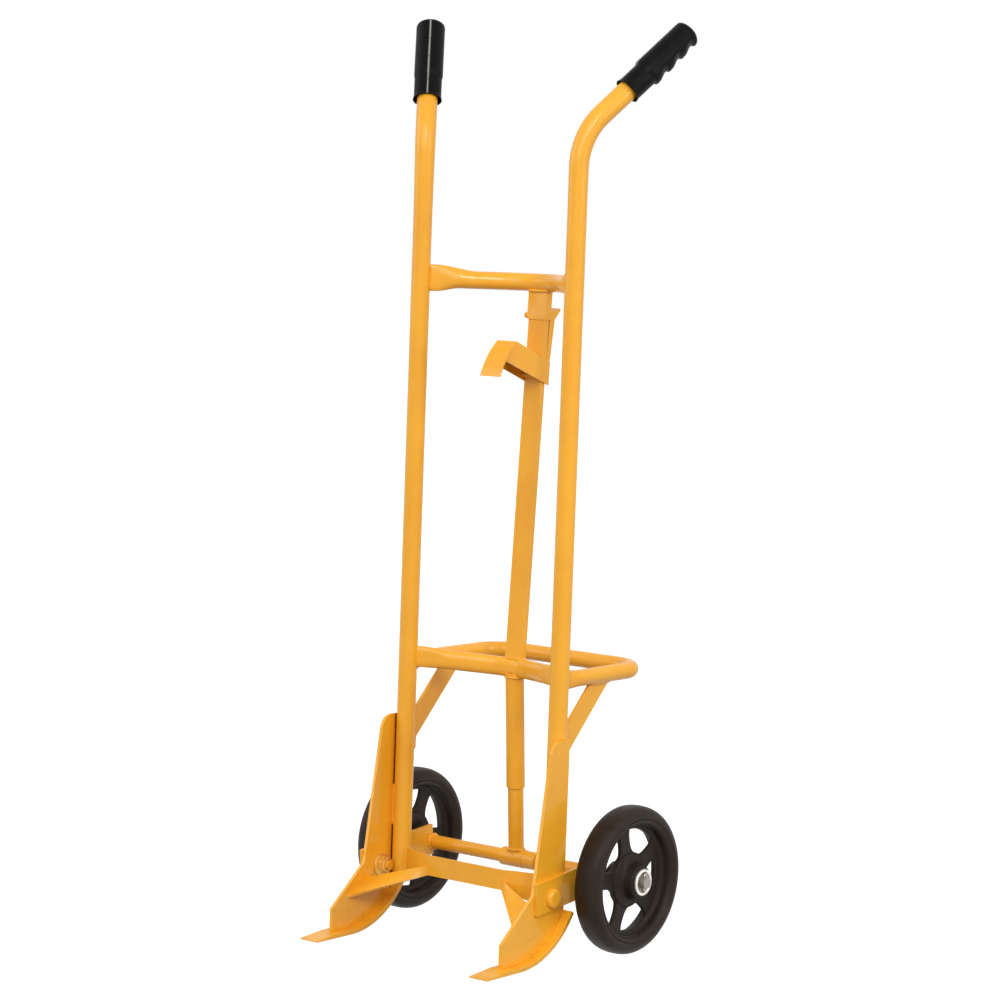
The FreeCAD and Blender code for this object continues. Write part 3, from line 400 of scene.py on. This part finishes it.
# The upright's line: straight up, a tangent arc in the plane of the handle, then straight along the handle, where
# the tube swells a little before it enters the grip
def uprightPath(word):
    knee, out, axis, under = handleAxes(word)
    tilt = math.radians(upright["tilt"][word])
    run = upright["bendRadius"] * math.tan(tilt / 2)
    up = np.array([0, 0, 1.0])
    post = knee + up * np.linspace(upright["foot"] - upright["bendHeight"], -run, upright["postRows"])[:, None]
    phi = np.linspace(0, tilt, upright["arcRows"])[1:, None]
    arc = knee - up * run + upright["bendRadius"] * ((1 - np.cos(phi)) * out + np.sin(phi) * up)
    reach = upright["gripStart"][word] + upright["inGrip"]
    handle = knee + axis * np.linspace(run, reach, upright["handleRows"])[1:, None]
    return np.vstack([post, arc, handle])


for word in sides:
    path = uprightPath(word)
    level = np.cross(handleAxes(word)[1], (0, 0, 1.0))
    pastMouth = pathLength(path) - pathLength(path)[-1] + upright["inGrip"]
    swell = smoothStep(pastMouth, *upright["swellSpan"]) * (1 - smoothStep(pastMouth, *upright["fadeSpan"]))
    outer = tubeGrid(path, *[trolley["tubeRadius"] + upright["swell"] * swell] * 3, level)
    bore = tubeGrid(path[:3], *[trolley["tubeRadius"] - upright["wall"]] * 3, level)[::-1]
    makePiece(f"{word}UprightTube", closedGrid(np.concatenate([bore, outer])), amberPaint, "frame",
              [f"{word}_upright"])

grip = {"length": 0.1498, "collar": 0.043, "collarRadius": 0.0214, "collarFlank": 0.0234, "lipFlare": 0.0014,
        "lip": 0.009, "lipWall": 0.0013, "recess": 0.014, "bodyRadius": 0.0246, "stepBefore": 0.004,
        "stepAfter": 0.006, "toothFirst": 0.0435, "toothPitch": 0.0312, "toothHigh": 0.0046, "toothFront": 0.13,
        "toothBack": (0.30, 0.90), "underside": (-0.05, 0.75), "underFirst": 0.0233, "underLast": 0.0172,
        "endRound": 0.008, "dome": 0.0022, "seamHigh": 0.0004, "seamWide": 0.048, "seamFrom": 0.0005,
        "bore": 0.0161, "boreDepth": 0.024, "boreFlare": 0.0008, "around": 112, "rows": 240}


# A grip: the radius along the handle flares to a thin lip at the mouth, steps up after the collar, which is wider
# than tall so that the step shows above and below only, and turns in at a rounded end; underneath it tapers and
# carries saw-like finger teeth, each with a steep front and a long back; a narrow ridge along the top is the seam
def gripSkin(word):
    knee, out, axis, under = handleAxes(word)
    flank = np.cross(axis, under)
    s = np.linspace(0, grip["length"], grip["rows"])
    share = s / grip["length"]
    flare = grip["lipFlare"] * np.clip(1 - s / grip["lip"], 0, 1) ** 2
    onBody = smoothStep(s, grip["collar"] - grip["stepBefore"], grip["collar"] + grip["stepAfter"])
    phase = (s - grip["toothFirst"]) / grip["toothPitch"] % 1
    tooth = smoothStep(phase, 0, grip["toothFront"]) * (1 - smoothStep(phase, *grip["toothBack"])) * onBody
    below = grip["underFirst"] + (grip["underLast"] - grip["underFirst"]) * share + grip["toothHigh"] * tooth
    angle = np.linspace(0, 2 * np.pi, grip["around"], endpoint=False)
    collar = grip["collarRadius"] + (grip["collarFlank"] - grip["collarRadius"]) * np.sin(angle) ** 2
    collar = collar + flare[:, None]
    facing = smoothStep(np.cos(angle), *grip["underside"])
    body = grip["bodyRadius"] + (below - grip["bodyRadius"])[:, None] * facing
    radius = collar + (body - collar) * onBody[:, None]
    seamAndHighlight = np.exp(-((1 + np.cos(angle)) / grip["seamWide"] ** 2 * 2) ** 2)
    radius = radius + grip["seamHigh"] * seamAndHighlight
    turnIn = np.clip((s - grip["length"] + grip["endRound"]) / grip["endRound"], 0, 1)
    radius = radius - grip["endRound"] * (1 - np.sqrt(1 - turnIn ** 2))[:, None]
    dome = s[-1] + grip["dome"] * np.array([0.5, 1.0])
    s = np.concatenate([[grip["boreDepth"], grip["recess"], 0.0], s, dome])
    bore = np.full(len(angle), grip["bore"])
    inside = [bore, bore + grip["boreFlare"], radius[0] - grip["lipWall"]]
    radius = np.vstack([*inside, radius, radius[-1] * 0.6, radius[-1] * 0.2])
    ring = np.cos(angle)[:, None] * under + np.sin(angle)[:, None] * flank
    grid = knee + (upright["gripStart"][word] + s)[:, None, None] * axis + radius[..., None] * ring[None]
    # The seam line below carries the painted pale highlight along the top of the grip's body
    onTop = (s > grip["seamFrom"]) & (s < grip["length"] - 0.5 * grip["endRound"])
    onTop[:len(inside)] = False
    line = np.concatenate([np.tile(seamAndHighlight, len(s)) * np.repeat(onTop, len(angle)), [0, 0]])
    return closedGrid(grid), line


for word in sides:
    skin, line = gripSkin(word)
    makePiece(f"{word}HandGrip", skin, gripRubber, "frame", [f"{word}_grip"], 50, line)
print("uprights and grips made")

bars = {"upper": {"z": trolley["upperBarZ"], "bow": trolley["upperBow"], "bend": 0.090, "endRise": 0.0, "tall": 0.015,
                  "wide": 0.015, "square": 1.0, "flatTop": 0.0242, "flatLow": 0.0208, "topTaper": 0.068,
                  "lowTaper": 0.036},
        "lower": {"z": trolley["lowerBarZ"], "bow": trolley["lowerBow"], "bend": 0.085, "endRise": 0.010,
                  "tall": 0.0165, "wide": 0.0115, "square": 0.8, "flatTop": 0.018, "flatLow": 0.018,
                  "topTaper": 0.040, "lowTaper": 0.036},
        "endInset": 0.010, "endSetback": 0.008, "flatWide": 0.0055, "flat": 0.018, "flatFull": 0.0126,
        "flatSquare": 0.7, "flankRows": 70, "bendRows": 26, "around": 72}


# A bowed bar: straight flanks run from both uprights into one bend, in a plane that may tip up toward the ends; near
# each end the ellipse grows tall and thin, earlier along its top than along its underside
def barSkin(bar):
    chord = trolley["uprightX"] - bars["endInset"]
    rise = bar["bow"] - bars["endSetback"]
    bend = bar["bend"]
    lean = 2 * math.atan(rise / (chord + math.sqrt(chord ** 2 - (2 * bend - rise) * rise)))
    flank = (chord - bend * math.sin(lean)) / math.cos(lean)
    run = np.linspace(0, flank, bars["flankRows"])[:-1]
    turn = np.linspace(lean, 0, bars["bendRows"])
    across = np.concatenate([chord - run * math.cos(lean), bend * np.sin(turn)])
    back = np.concatenate([bars["endSetback"] + run * math.sin(lean), bar["bow"] - bend + bend * np.cos(turn)])
    across = np.concatenate([across, -across[-2::-1]])
    back = np.concatenate([back, back[-2::-1]])
    height = bar["z"] + bar["endRise"] * (bar["bow"] - back) / rise
    path = np.column_stack([across, trolley["backset"] + back, height])
    along = pathLength(path)
    toEnd = np.minimum(along, along[-1] - along)
    above = 1 - smoothStep(toEnd, bars["flatFull"], bars["flat"] + bar["topTaper"])
    below = 1 - smoothStep(toEnd, bars["flatFull"], bars["flat"] + bar["lowTaper"])
    top = bar["tall"] + (bar["flatTop"] - bar["tall"]) * above
    low = bar["tall"] + (bar["flatLow"] - bar["tall"]) * below
    wide = bar["wide"] + (bars["flatWide"] - bar["wide"]) * below
    square = bar["square"] + (bars["flatSquare"] - bar["square"]) * below
    return closedGrid(tubeGrid(path, top, low, wide, (0, 0, 1.0), bars["around"], square))


makePiece("upperCrossTube", barSkin(bars["upper"]), amberPaint, "frame", ["upper_cross_bar"])
makePiece("lowerFrontTube", barSkin(bars["lower"]), amberPaint, "frame", ["lower_front_bar"])

loop = {"start": 0.006, "halfWidth": 0.159, "reach": 0.243, "corner": 0.055, "radius": 0.014, "endTall": 0.0162,
        "endWide": 0.0095, "pressSpan": (0.012, 0.055), "pressSquare": 0.2, "armRows": 44, "bendRows": 22,
        "around": 64}


# The loop's line: one arm back, a quarter arc, the rear bar, a quarter arc and the other arm forward
def loopSkin():
    inset = loop["halfWidth"] - loop["corner"]
    straight = loop["reach"] - loop["corner"]
    y = np.linspace(loop["start"], straight, loop["armRows"])
    armLine = np.stack([np.full_like(y, -loop["halfWidth"]), y], -1)
    phi = np.linspace(0, np.pi / 2, loop["bendRows"])[1:-1]
    bend = np.stack([-inset - loop["corner"] * np.cos(phi), straight + loop["corner"] * np.sin(phi)], -1)
    half = np.vstack([armLine, bend, [[-inset, loop["reach"]], [0, loop["reach"]]]])
    flat = np.vstack([half, half[-2::-1] * [-1, 1]])
    path = np.column_stack([flat[:, 0], trolley["backset"] + flat[:, 1], np.full(len(flat), trolley["loopZ"])])
    along = pathLength(path)
    press = 1 - smoothStep(np.minimum(along, along[-1] - along), *loop["pressSpan"])
    wide = loop["radius"] + (loop["endWide"] - loop["radius"]) * press
    tall = loop["radius"] + (loop["endTall"] - loop["radius"]) * press
    square = 1 - loop["pressSquare"] * press
    return closedGrid(tubeGrid(path, tall, tall, wide, (0, 0, 1.0), loop["around"], square))


makePiece("rearLoopTube", loopSkin(), amberPaint, "frame", ["rear_loop"])
print("bars and loop made")

wheel = {"plane": 0.236, "tread": 0.125, "half": 0.025, "crownFrom": 0.1065, "crownSquare": (0.72, 0.80),
         "sidewallFoot": 0.1040, "sidewallInset": 0.0004, "seat": 0.0961, "seatGap": 0.0003, "seatEase": 0.002,
         "rimInner": 0.0930, "rimHalf": 0.0175, "rimLip": 0.0200, "rimSlope": 0.0012, "webInner": 0.0858,
         "webSlope": 0.003, "flange": 0.0468, "flangeHalf": 0.0065, "flangeEdge": 0.002, "hub": 0.031,
         "hubHalf": 0.029, "hubTaper": 0.004, "bore": 0.014, "spokes": 5,
         "firstSpoke": {"left": 67.0, "right": 31.0}, "spokeHalf": 0.0142, "spokeThick": 0.0045,
         "spokeSpan": (0.036, 0.0925), "spokeMiddle": 0.066, "spokeReach": 0.027, "spokeFlare": 0.010,
         "spokeDish": 0.0005, "spokeSquare": 0.45, "raceSeat": 0.0211, "raceDeep": 0.0122, "tyreAround": 160,
         "hubAround": 128}


# Tyre profile: flat at the seat, a sidewall that runs into the rim without a step, and a round crown
def tyreProfile():
    acrossPower, upPower = wheel["crownSquare"]
    phi = np.linspace(0, np.pi, 60)
    crownX = wheel["half"] * np.sign(np.cos(phi)) * np.abs(np.cos(phi)) ** acrossPower
    crownR = wheel["crownFrom"] + (wheel["tread"] - wheel["crownFrom"]) * np.sin(phi) ** upPower
    foot = wheel["half"] - wheel["sidewallInset"]
    seat = wheel["rimLip"] + wheel["seatGap"]
    corners = [(-foot, wheel["sidewallFoot"]), (-seat, wheel["seat"]), (seat, wheel["seat"]),
               (foot, wheel["sidewallFoot"])]
    return np.vstack([np.column_stack([crownX, crownR]), eased(corners, wheel["seatEase"])])


# One spoke: a rounded box section from hub to rim, whose width flares at both ends
def spokeSkin(plane, angle):
    r = np.linspace(*wheel["spokeSpan"], 40)
    middle = (r - wheel["spokeMiddle"]) / wheel["spokeReach"]
    half = wheel["spokeHalf"] + wheel["spokeFlare"] * np.abs(middle) ** 3
    thick = wheel["spokeThick"] - wheel["spokeDish"] * (1 - middle ** 2)
    path = np.column_stack([np.full_like(r, plane), trolley["axleY"] + r * math.cos(angle),
                            trolley["axleZ"] + r * math.sin(angle)])
    return closedGrid(tubeGrid(path, thick, thick, half, (1.0, 0, 0), 40, wheel["spokeSquare"]))


# Half an outline is given from one side to the middle, as rows of distance along the axle, radius and easing; the
# other side is its mirror image
def mirrored(rows):
    rows = np.asarray(rows, float)
    whole = np.vstack([rows, rows[::-1] * [-1, 1, 1]])
    return eased(whole[:, :2], whole[:, 2])


# Hub: a cylinder that meets a thin round flange in a wide hollow curve, with a race pocket and a bore inside
def hubProfile():
    flange, edge, hub, taper = (wheel[key] for key in ("flange", "flangeEdge", "hub", "hubTaper"))
    flat, end, seat = wheel["flangeHalf"], wheel["hubHalf"], wheel["raceSeat"]
    pocket = end - wheel["raceDeep"]
    return mirrored([(-pocket, wheel["bore"], 0.0002), (-pocket, seat, 0.0002), (-end, seat, 0.0004),
                     (-end, hub - taper, 0.003), (-flat - taper, hub, 0.008), (-flat, flange - edge, 0.002),
                     (edge - flat, flange, 0.002)])


# Rim: a sloped seat for the tyre that runs down to the web, which the spokes meet
def rimProfile():
    inner, web, thick = wheel["rimInner"], wheel["webInner"], wheel["spokeThick"]
    return mirrored([(-wheel["rimLip"], wheel["seat"], 0.0003), (-wheel["rimHalf"], inner + wheel["rimSlope"], 0.002),
                     (-thick - wheel["webSlope"], inner, 0.003), (-thick, web, 0.0018)])


race = {"inner": 0.01005, "shaft": 0.0131, "shield": 0.0180, "outer": 0.0210, "half": 0.006, "sunk": 0.0048,
        "ease": 0.0004, "around": 96}


# A ball race: two rings with a sunk shield between them
def raceProfile():
    shaft, shield, deep, sunk = (race[key] for key in ("shaft", "shield", "half", "sunk"))
    corners = np.array([(-deep, race["inner"]), (-deep, shaft), (-sunk, shaft), (-sunk, shield), (-deep, shield),
                        (-deep, race["outer"])])
    return eased(np.vstack([corners, corners[::-1] * [-1, 1]]), race["ease"], 4)


for word, side in sides.items():
    plane = side * wheel["plane"]
    body = f"{word}_wheel"
    tyre = turned(tyreProfile() * [side, 1] + [plane, 0], wheel["tyreAround"])
    makePiece(f"{word}SolidTyre", tyre, tyreRubber, body, [f"{word}_tyre"], 60)
    skins = [turned(rimProfile() + [plane, 0], wheel["tyreAround"]),
             turned(hubProfile() + [plane, 0], wheel["hubAround"])]
    skins += [spokeSkin(plane, math.radians(wheel["firstSpoke"][word] + 360 / wheel["spokes"] * k))
              for k in range(wheel["spokes"])]
    makePiece(f"{word}SpokedCentre", joined(*skins), wheelPlastic, body, [f"{word}_wheel_centre"])
    inset = wheel["hubHalf"] - race["half"]
    races = [turned(raceProfile() + [plane + spot, 0], race["around"]) for spot in (-inset, inset)]
    makePiece(f"{word}BallRaces", joined(*races), brightSteel, body, [f"{word}_wheel_bearings"])

axleEnd = {"face": 0.2684, "thick": 0.003, "bore": 0.0101, "radius": 0.0225, "rimFrom": 0.0178, "rimHigh": 0.0022,
           "rimSlope": 0.001, "pinX": 0.2705, "pinRadius": 0.0014, "pinHalf": 0.0108, "eye": 0.0030, "tail": 0.0035,
           "eyeTurn": 315.0, "around": 96}


# Axle caps: washers with a raised, rounded rim
capSkins = []
for word, side in sides.items():
    face, back = axleEnd["face"], axleEnd["face"] - axleEnd["thick"]
    high, rim = face + axleEnd["rimHigh"], axleEnd["rimFrom"]
    rows = np.array([(back, axleEnd["bore"], 0.0002), (back, axleEnd["radius"], 0.0006),
                     (high, axleEnd["radius"], 0.0021), (high, rim, 0.0018),
                     (face, rim - axleEnd["rimSlope"], 0.0012), (face, axleEnd["bore"], 0.0004)])
    capSkins.append(turned(eased(rows[:, :2], rows[:, 2]) * [side, 1], axleEnd["around"]))
makePiece("axleCaps", joined(*capSkins), polishedSteel, "frame", ["axle_washers"])


# A split pin: a straight leg through the axle, an open eye above and a tail bent over below
def pinSkin(side):
    up = np.linspace(-axleEnd["pinHalf"], axleEnd["pinHalf"], 12)
    leg = np.column_stack([0 * up, up])
    t = np.linspace(0, math.radians(axleEnd["eyeTurn"]), 26)[1:]
    eye = np.column_stack([axleEnd["eye"] * (1 - np.cos(t)), axleEnd["pinHalf"] + axleEnd["eye"] * np.sin(t)])
    t = np.linspace(np.pi / 2, 0, 8)[:-1]
    tail = np.column_stack([axleEnd["tail"] * (1 - np.cos(t)), -axleEnd["pinHalf"] - axleEnd["tail"] * np.sin(t)])
    flat = np.vstack([tail, leg, eye])
    path = np.column_stack([np.full(len(flat), side * axleEnd["pinX"]), trolley["axleY"] + flat[:, 0],
                            trolley["axleZ"] + flat[:, 1]])
    return closedGrid(tubeGrid(path, *[axleEnd["pinRadius"]] * 3, (1.0, 0, 0), 14))


makePiece("splitPins", joined(*[pinSkin(side) for side in sides.values()]), brightSteel, "frame",
          ["split_pins"])
print("wheels and axle ends made")

weld = {"radius": 0.0024, "wobble": 0.07, "slowWobble": 0.035, "slowTurn": 0.37, "pitch": 0.007, "around": 12,
        "endDrop": 0.05, "straightRows": 60, "ringRows": 120, "flank": 0.0040}
armFlanks = [loop["halfWidth"] - weld["flank"], loop["halfWidth"] + weld["flank"]]
axleBack = trolley["axleY"] - trolley["backset"]

# Straight beads on both sides: x from the middle, then y behind the uprights and z above the floor from end to end
straightPairs = {
    "toePlate": {"x": [trolley["plateFace"] - 0.0012], "y": (-0.0075, -0.0072), "z": (0.172, 0.244), "fat": 1.1},
    "plateTongue": {"x": [trolley["uprightX"] - 0.015], "y": (-0.0068, -0.0068), "z": (0.084, 0.136)},
    "upperBarEnd": {"x": [trolley["uprightX"] - 0.0165], "y": (0.0068, 0.0068),
                    "z": (trolley["upperBarZ"] - 0.019, trolley["upperBarZ"] + 0.022), "fat": 0.6},
    "braceFoot": {"x": armFlanks, "y": (0.0155, 0.0155), "z": (0.304, 0.356)},
    "braceHead": {"x": armFlanks, "y": (0.088, 0.141), "z": (0.4478, 0.4478), "lift": (0, 0, 1.0)}}

# Beads round a post, on both sides and in the middle: half sizes in x, y and z, with none across the bead's plane
ringPairs = {
    "loopEnd": {"at": (loop["halfWidth"], 0.0156, trolley["loopZ"]), "half": (0.0100, 0, 0.0160)},
    "axleBracket": {"at": (0.1843, axleBack, trolley["axleZ"]), "half": (0, 0.0125, 0.0125), "fat": 1.2}}
middleRings = {
    "strutSleeve": {"at": (0, trolley["lowerBow"] + 0.001, trolley["lowerBarZ"] - 0.0158),
                    "half": (0.0163, 0.0150, 0)},
    "railFoot": {"at": (0, trolley["lowerBow"] + 0.0008, trolley["lowerBarZ"] + 0.0162),
                 "half": (0.0178, 0.0070, 0), "fat": 0.9, "square": 0.3},
    "railSleeve": {"at": (0, trolley["upperBow"] - 0.0008, trolley["upperBarZ"] - 0.0138),
                   "half": (0.0200, 0.0092, 0), "fat": 1.2, "square": 0.35},
    "axleBush": {"at": (0, axleBack - 0.0011, trolley["axleZ"] + 0.0158), "half": (0.0138, 0.0138, 0)}}


# A weld bead: a thin tube whose radius rises and falls along its length like overlapping drops
def beadSkin(path, lift, fat, looped=False):
    run = pathLength(path) / weld["pitch"] * 2 * np.pi
    drops = weld["wobble"] * np.sin(run) + weld["slowWobble"] * np.sin(weld["slowTurn"] * run + 1)
    thick = weld["radius"] * fat * (1 + drops)
    if looped:
        return ringGrid(tubeGrid(path, thick, thick, thick, lift, weld["around"], looped=True))
    thick = thick * np.sqrt(np.clip(1 - np.linspace(-1, 1, len(path)) ** 8, weld["endDrop"], 1))
    return closedGrid(tubeGrid(path, thick, thick, thick, lift, weld["around"]))


# A straight bead: even steps from one end to the other
def straightBead(bead, x):
    first, last = (np.array([x, trolley["backset"] + y, z]) for y, z in zip(bead["y"], bead["z"]))
    steps = np.linspace(0, 1, weld["straightRows"])[:, None]
    return beadSkin(first + (last - first) * steps, bead.get("lift", (0, 1.0, 0)), bead.get("fat", 1.0))


# A bead round a post: an ellipse, or a rounded rectangle where its cosine and sine are raised to a power below one
def ringBead(bead, side=1):
    middle = np.array(bead["at"]) * [side, 1, 1] + [0, trolley["backset"], 0]
    first, second = (row for row in np.diag(bead["half"]) if row.any())
    t = np.linspace(0, 2 * np.pi, weld["ringRows"], endpoint=False)[:, None]
    c, s = (np.sign(wave) * np.abs(wave) ** bead.get("square", 1.0) for wave in (np.cos(t), np.sin(t)))
    return beadSkin(middle + c * first + s * second, unit(np.cross(first, second)), bead.get("fat", 1.0), True)


beads = [ringBead(bead) for bead in middleRings.values()]
for side in sides.values():
    beads += [straightBead(bead, side * x) for bead in straightPairs.values() for x in bead["x"]]
    beads += [ringBead(bead, side) for bead in ringPairs.values()]
makePiece("frameWelds", joined(*beads), amberPaint, "frame", sharp=180)
print("weld beads made")

softEdges = {"left_toe_plate": 0.0005, "right_toe_plate": 0.0005, "left_toe_sole": 0.0008, "right_toe_sole": 0.0008,
             "front_cross_plate": 0.0009, "left_toe_strap": 0.0009, "right_toe_strap": 0.0009,
             "left_axle_bracket": 0.0009, "right_axle_bracket": 0.0009, "left_brace": 0.0009, "right_brace": 0.0009,
             "hook_rail": 0.0012, "rail_top_sleeve": 0.0007, "hook_channel": 0.0008, "hook_lever": 0.0012,
             "bracket_nuts": 0.0009, "bracket_washers": 0.0005, "bracket_bolts": 0.0006, "axle_bush": 0.0009,
             "axle_collar": 0.0009, "axle": 0.0009, "axle_spacers": 0.0006, "strut_sleeve": 0.0007,
             "strut_rod": 0.0006, "hook_cross_pin": 0.0007, "rail_stop_pin": 0.0009}
ownFinish = {"hook_rail": railPaint, "axle": axlePaint, "left_toe_plate": platePaint, "right_toe_plate": platePaint}
slotOf = {entry["node"]: entry["material_slot"] for entry in frame["record"]["subparts"]}
bodyOf = {name: body for body, members in frame["record"]["behaviour"]["bodies"].items() for name in members}

softening = {"merge": 2e-6, "flatWithin": 0.8, "smoothBelow": 38.0, "steps": 3, "cornerAbove": 42.0}

# A flat piece keeps its solid's shape: a merged copy with its flat faces joined, its corners broken by a small bevel
for name, width in softEdges.items():
    source = nodes[name]
    work = bmesh.new()
    work.from_mesh(source.data)
    bmesh.ops.remove_doubles(work, verts=work.verts, dist=softening["merge"])
    bmesh.ops.dissolve_limit(work, angle_limit=math.radians(softening["flatWithin"]), verts=work.verts,
                             edges=work.edges)
    mesh = bpy.data.meshes.new(name + "Soft")
    work.to_mesh(mesh)
    work.free()
    mesh.shade_smooth()
    mesh.set_sharp_from_angle(angle=math.radians(softening["smoothBelow"]))
    words = name.split("_")
    piece = bpy.data.objects.new(words[0] + "".join(w.capitalize() for w in words[1:]), mesh)
    bpy.context.scene.collection.objects.link(piece)
    mesh.materials.append(ownFinish.get(name, finishes[slotOf[name]]))
    bevel = piece.modifiers.new("brokenCorners", "BEVEL")
    bevel.width = width
    bevel.segments = softening["steps"]
    bevel.limit_method = "ANGLE"
    bevel.angle_limit = math.radians(softening["cornerAbove"])
    bevel.use_clamp_overlap = True
    bevel.harden_normals = False
    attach(piece, bodyOf[name])
    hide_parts(name)
print("corners broken on", len(softEdges), "flat and turned pieces")

for name, node in nodes.items():
    node.data.materials.clear()
    node.data.materials.append(ownFinish.get(name, finishes[slotOf[name]]))

# The photograph's camera, with its focal length in pixels of a picture this wide
camera = {"at": (3.1648, -4.0308, 1.196), "yaw": 38.07, "pitch": 5.0, "roll": 2.06, "focal": 3062.0,
          "pictureWide": 1000, "sensor": 36.0, "far": 60}
yaw, pitch, roll = (math.radians(camera[key]) for key in ("yaw", "pitch", "roll"))
ahead = Vector((-math.sin(yaw) * math.cos(pitch), math.cos(yaw) * math.cos(pitch), -math.sin(pitch)))
right = Vector((math.cos(yaw), math.sin(yaw), 0))
above = right.cross(ahead)
xAxis = math.cos(roll) * right + math.sin(roll) * above
yAxis = -math.sin(roll) * right + math.cos(roll) * above
eye = bpy.data.objects.new("photoCamera", bpy.data.cameras.new("photoCamera"))
bpy.context.scene.collection.objects.link(eye)
turn = Matrix((xAxis, yAxis, -ahead)).transposed().to_4x4()
eye.matrix_world = Matrix.Translation(camera["at"]) @ turn
eye.data.sensor_width = camera["sensor"]
eye.data.lens = camera["focal"] / camera["pictureWide"] * camera["sensor"]
eye.data.clip_end = camera["far"]
bpy.context.scene.camera = eye

lights = {"key": {"at": (2.2, -4.6, 3.4), "size": 3.6, "power": 126},
          "fill": {"at": (-4.0, -3.0, 2.6), "size": 3.6, "power": 70},
          "side": {"at": (4.6, 0.6, 2.4), "size": 2.6, "power": 76},
          "streak": {"at": (3.2, -2.45, 3.3), "size": 0.3, "tall": 1.6, "power": 40}}
lampAim = Vector((0, 0, 0.75))
for word, lamp in lights.items():
    data = bpy.data.lights.new(word + "Lamp", "AREA")
    data.shape = "ELLIPSE"
    data.size = lamp["size"]
    data.size_y = lamp.get("tall", lamp["size"])
    data.energy = lamp["power"]
    made = bpy.data.objects.new(word + "Lamp", data)
    bpy.context.scene.collection.objects.link(made)
    aim = lampAim - Vector(lamp["at"])
    made.matrix_world = Matrix.Translation(lamp["at"]) @ aim.to_track_quat("-Z", "Y").to_matrix().to_4x4()

# The room: even white, and pure white where the camera, a reflection or glass looks straight at it
room = {"strength": 0.56, "floorGlow": 1.3, "floorShare": 0.82, "floorBounce": 0.22, "floorWhite": 0.92,
        "floorHalf": 30}
world = bpy.data.worlds.new("paleRoom")
bpy.context.scene.world = world
world.use_nodes = True
tree = world.node_tree
soft = tree.nodes["Background"]
soft.inputs["Color"].default_value = (1, 1, 1, 1)
soft.inputs["Strength"].default_value = room["strength"]
plain = tree.nodes.new("ShaderNodeBackground")
plain.inputs["Color"].default_value = (1, 1, 1, 1)
plain.inputs["Strength"].default_value = 1.0
rays = tree.nodes.new("ShaderNodeLightPath")
chosen = tree.nodes.new("ShaderNodeMixShader")
looking = rays.outputs["Is Camera Ray"]
for kind in ("Is Glossy Ray", "Is Transmission Ray"):
    either = tree.nodes.new("ShaderNodeMath")
    either.operation = "MAXIMUM"
    tree.links.new(looking, either.inputs[0])
    tree.links.new(rays.outputs[kind], either.inputs[1])
    looking = either.outputs[0]
tree.links.new(looking, chosen.inputs[0])
tree.links.new(soft.outputs[0], chosen.inputs[1])
tree.links.new(plain.outputs[0], chosen.inputs[2])
tree.links.new(chosen.outputs[0], tree.nodes["World Output"].inputs["Surface"])

# The floor: to the camera and in reflections a white sheet that mostly glows and keeps a faint shadow, to all other
# rays a grey one
floorMesh = bpy.data.meshes.new("paleFloor")
half = room["floorHalf"]
floorMesh.from_pydata([(-half, -half, 0), (half, -half, 0), (half, half, 0), (-half, half, 0)], [], [(0, 1, 2, 3)])
floor = bpy.data.objects.new("paleFloor", floorMesh)
bpy.context.scene.collection.objects.link(floor)
g = Graph("paleFloor")
seen = g.node("ShaderNodeLightPath", out="Is Camera Ray")
seen = seen.maths("MAXIMUM", g.node("ShaderNodeLightPath", out="Is Glossy Ray"))
tone = g.band(seen, 0.0, 1.0, room["floorBounce"], room["floorWhite"])
g.feed(Base_Color=g.node("ShaderNodeCombineColor", None, {0: tone, 1: tone, 2: tone}), Roughness=0.9,
       Specular_IOR_Level=0.05)
glow = g.node("ShaderNodeEmission", None, {"Color": (1, 1, 1, 1), "Strength": room["floorGlow"]})
blend = g.node("ShaderNodeMixShader", None, {0: seen * room["floorShare"], 1: Wire(g, g.shader.outputs[0]), 2: glow})
g.tree.links.new(blend.socket, g.tree.nodes["Material Output"].inputs["Surface"])
floorMesh.materials.append(g.material)
floor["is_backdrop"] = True
bpy.context.scene.view_settings.view_transform = "Standard"
print("camera, lamps and floor set")

low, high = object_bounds()
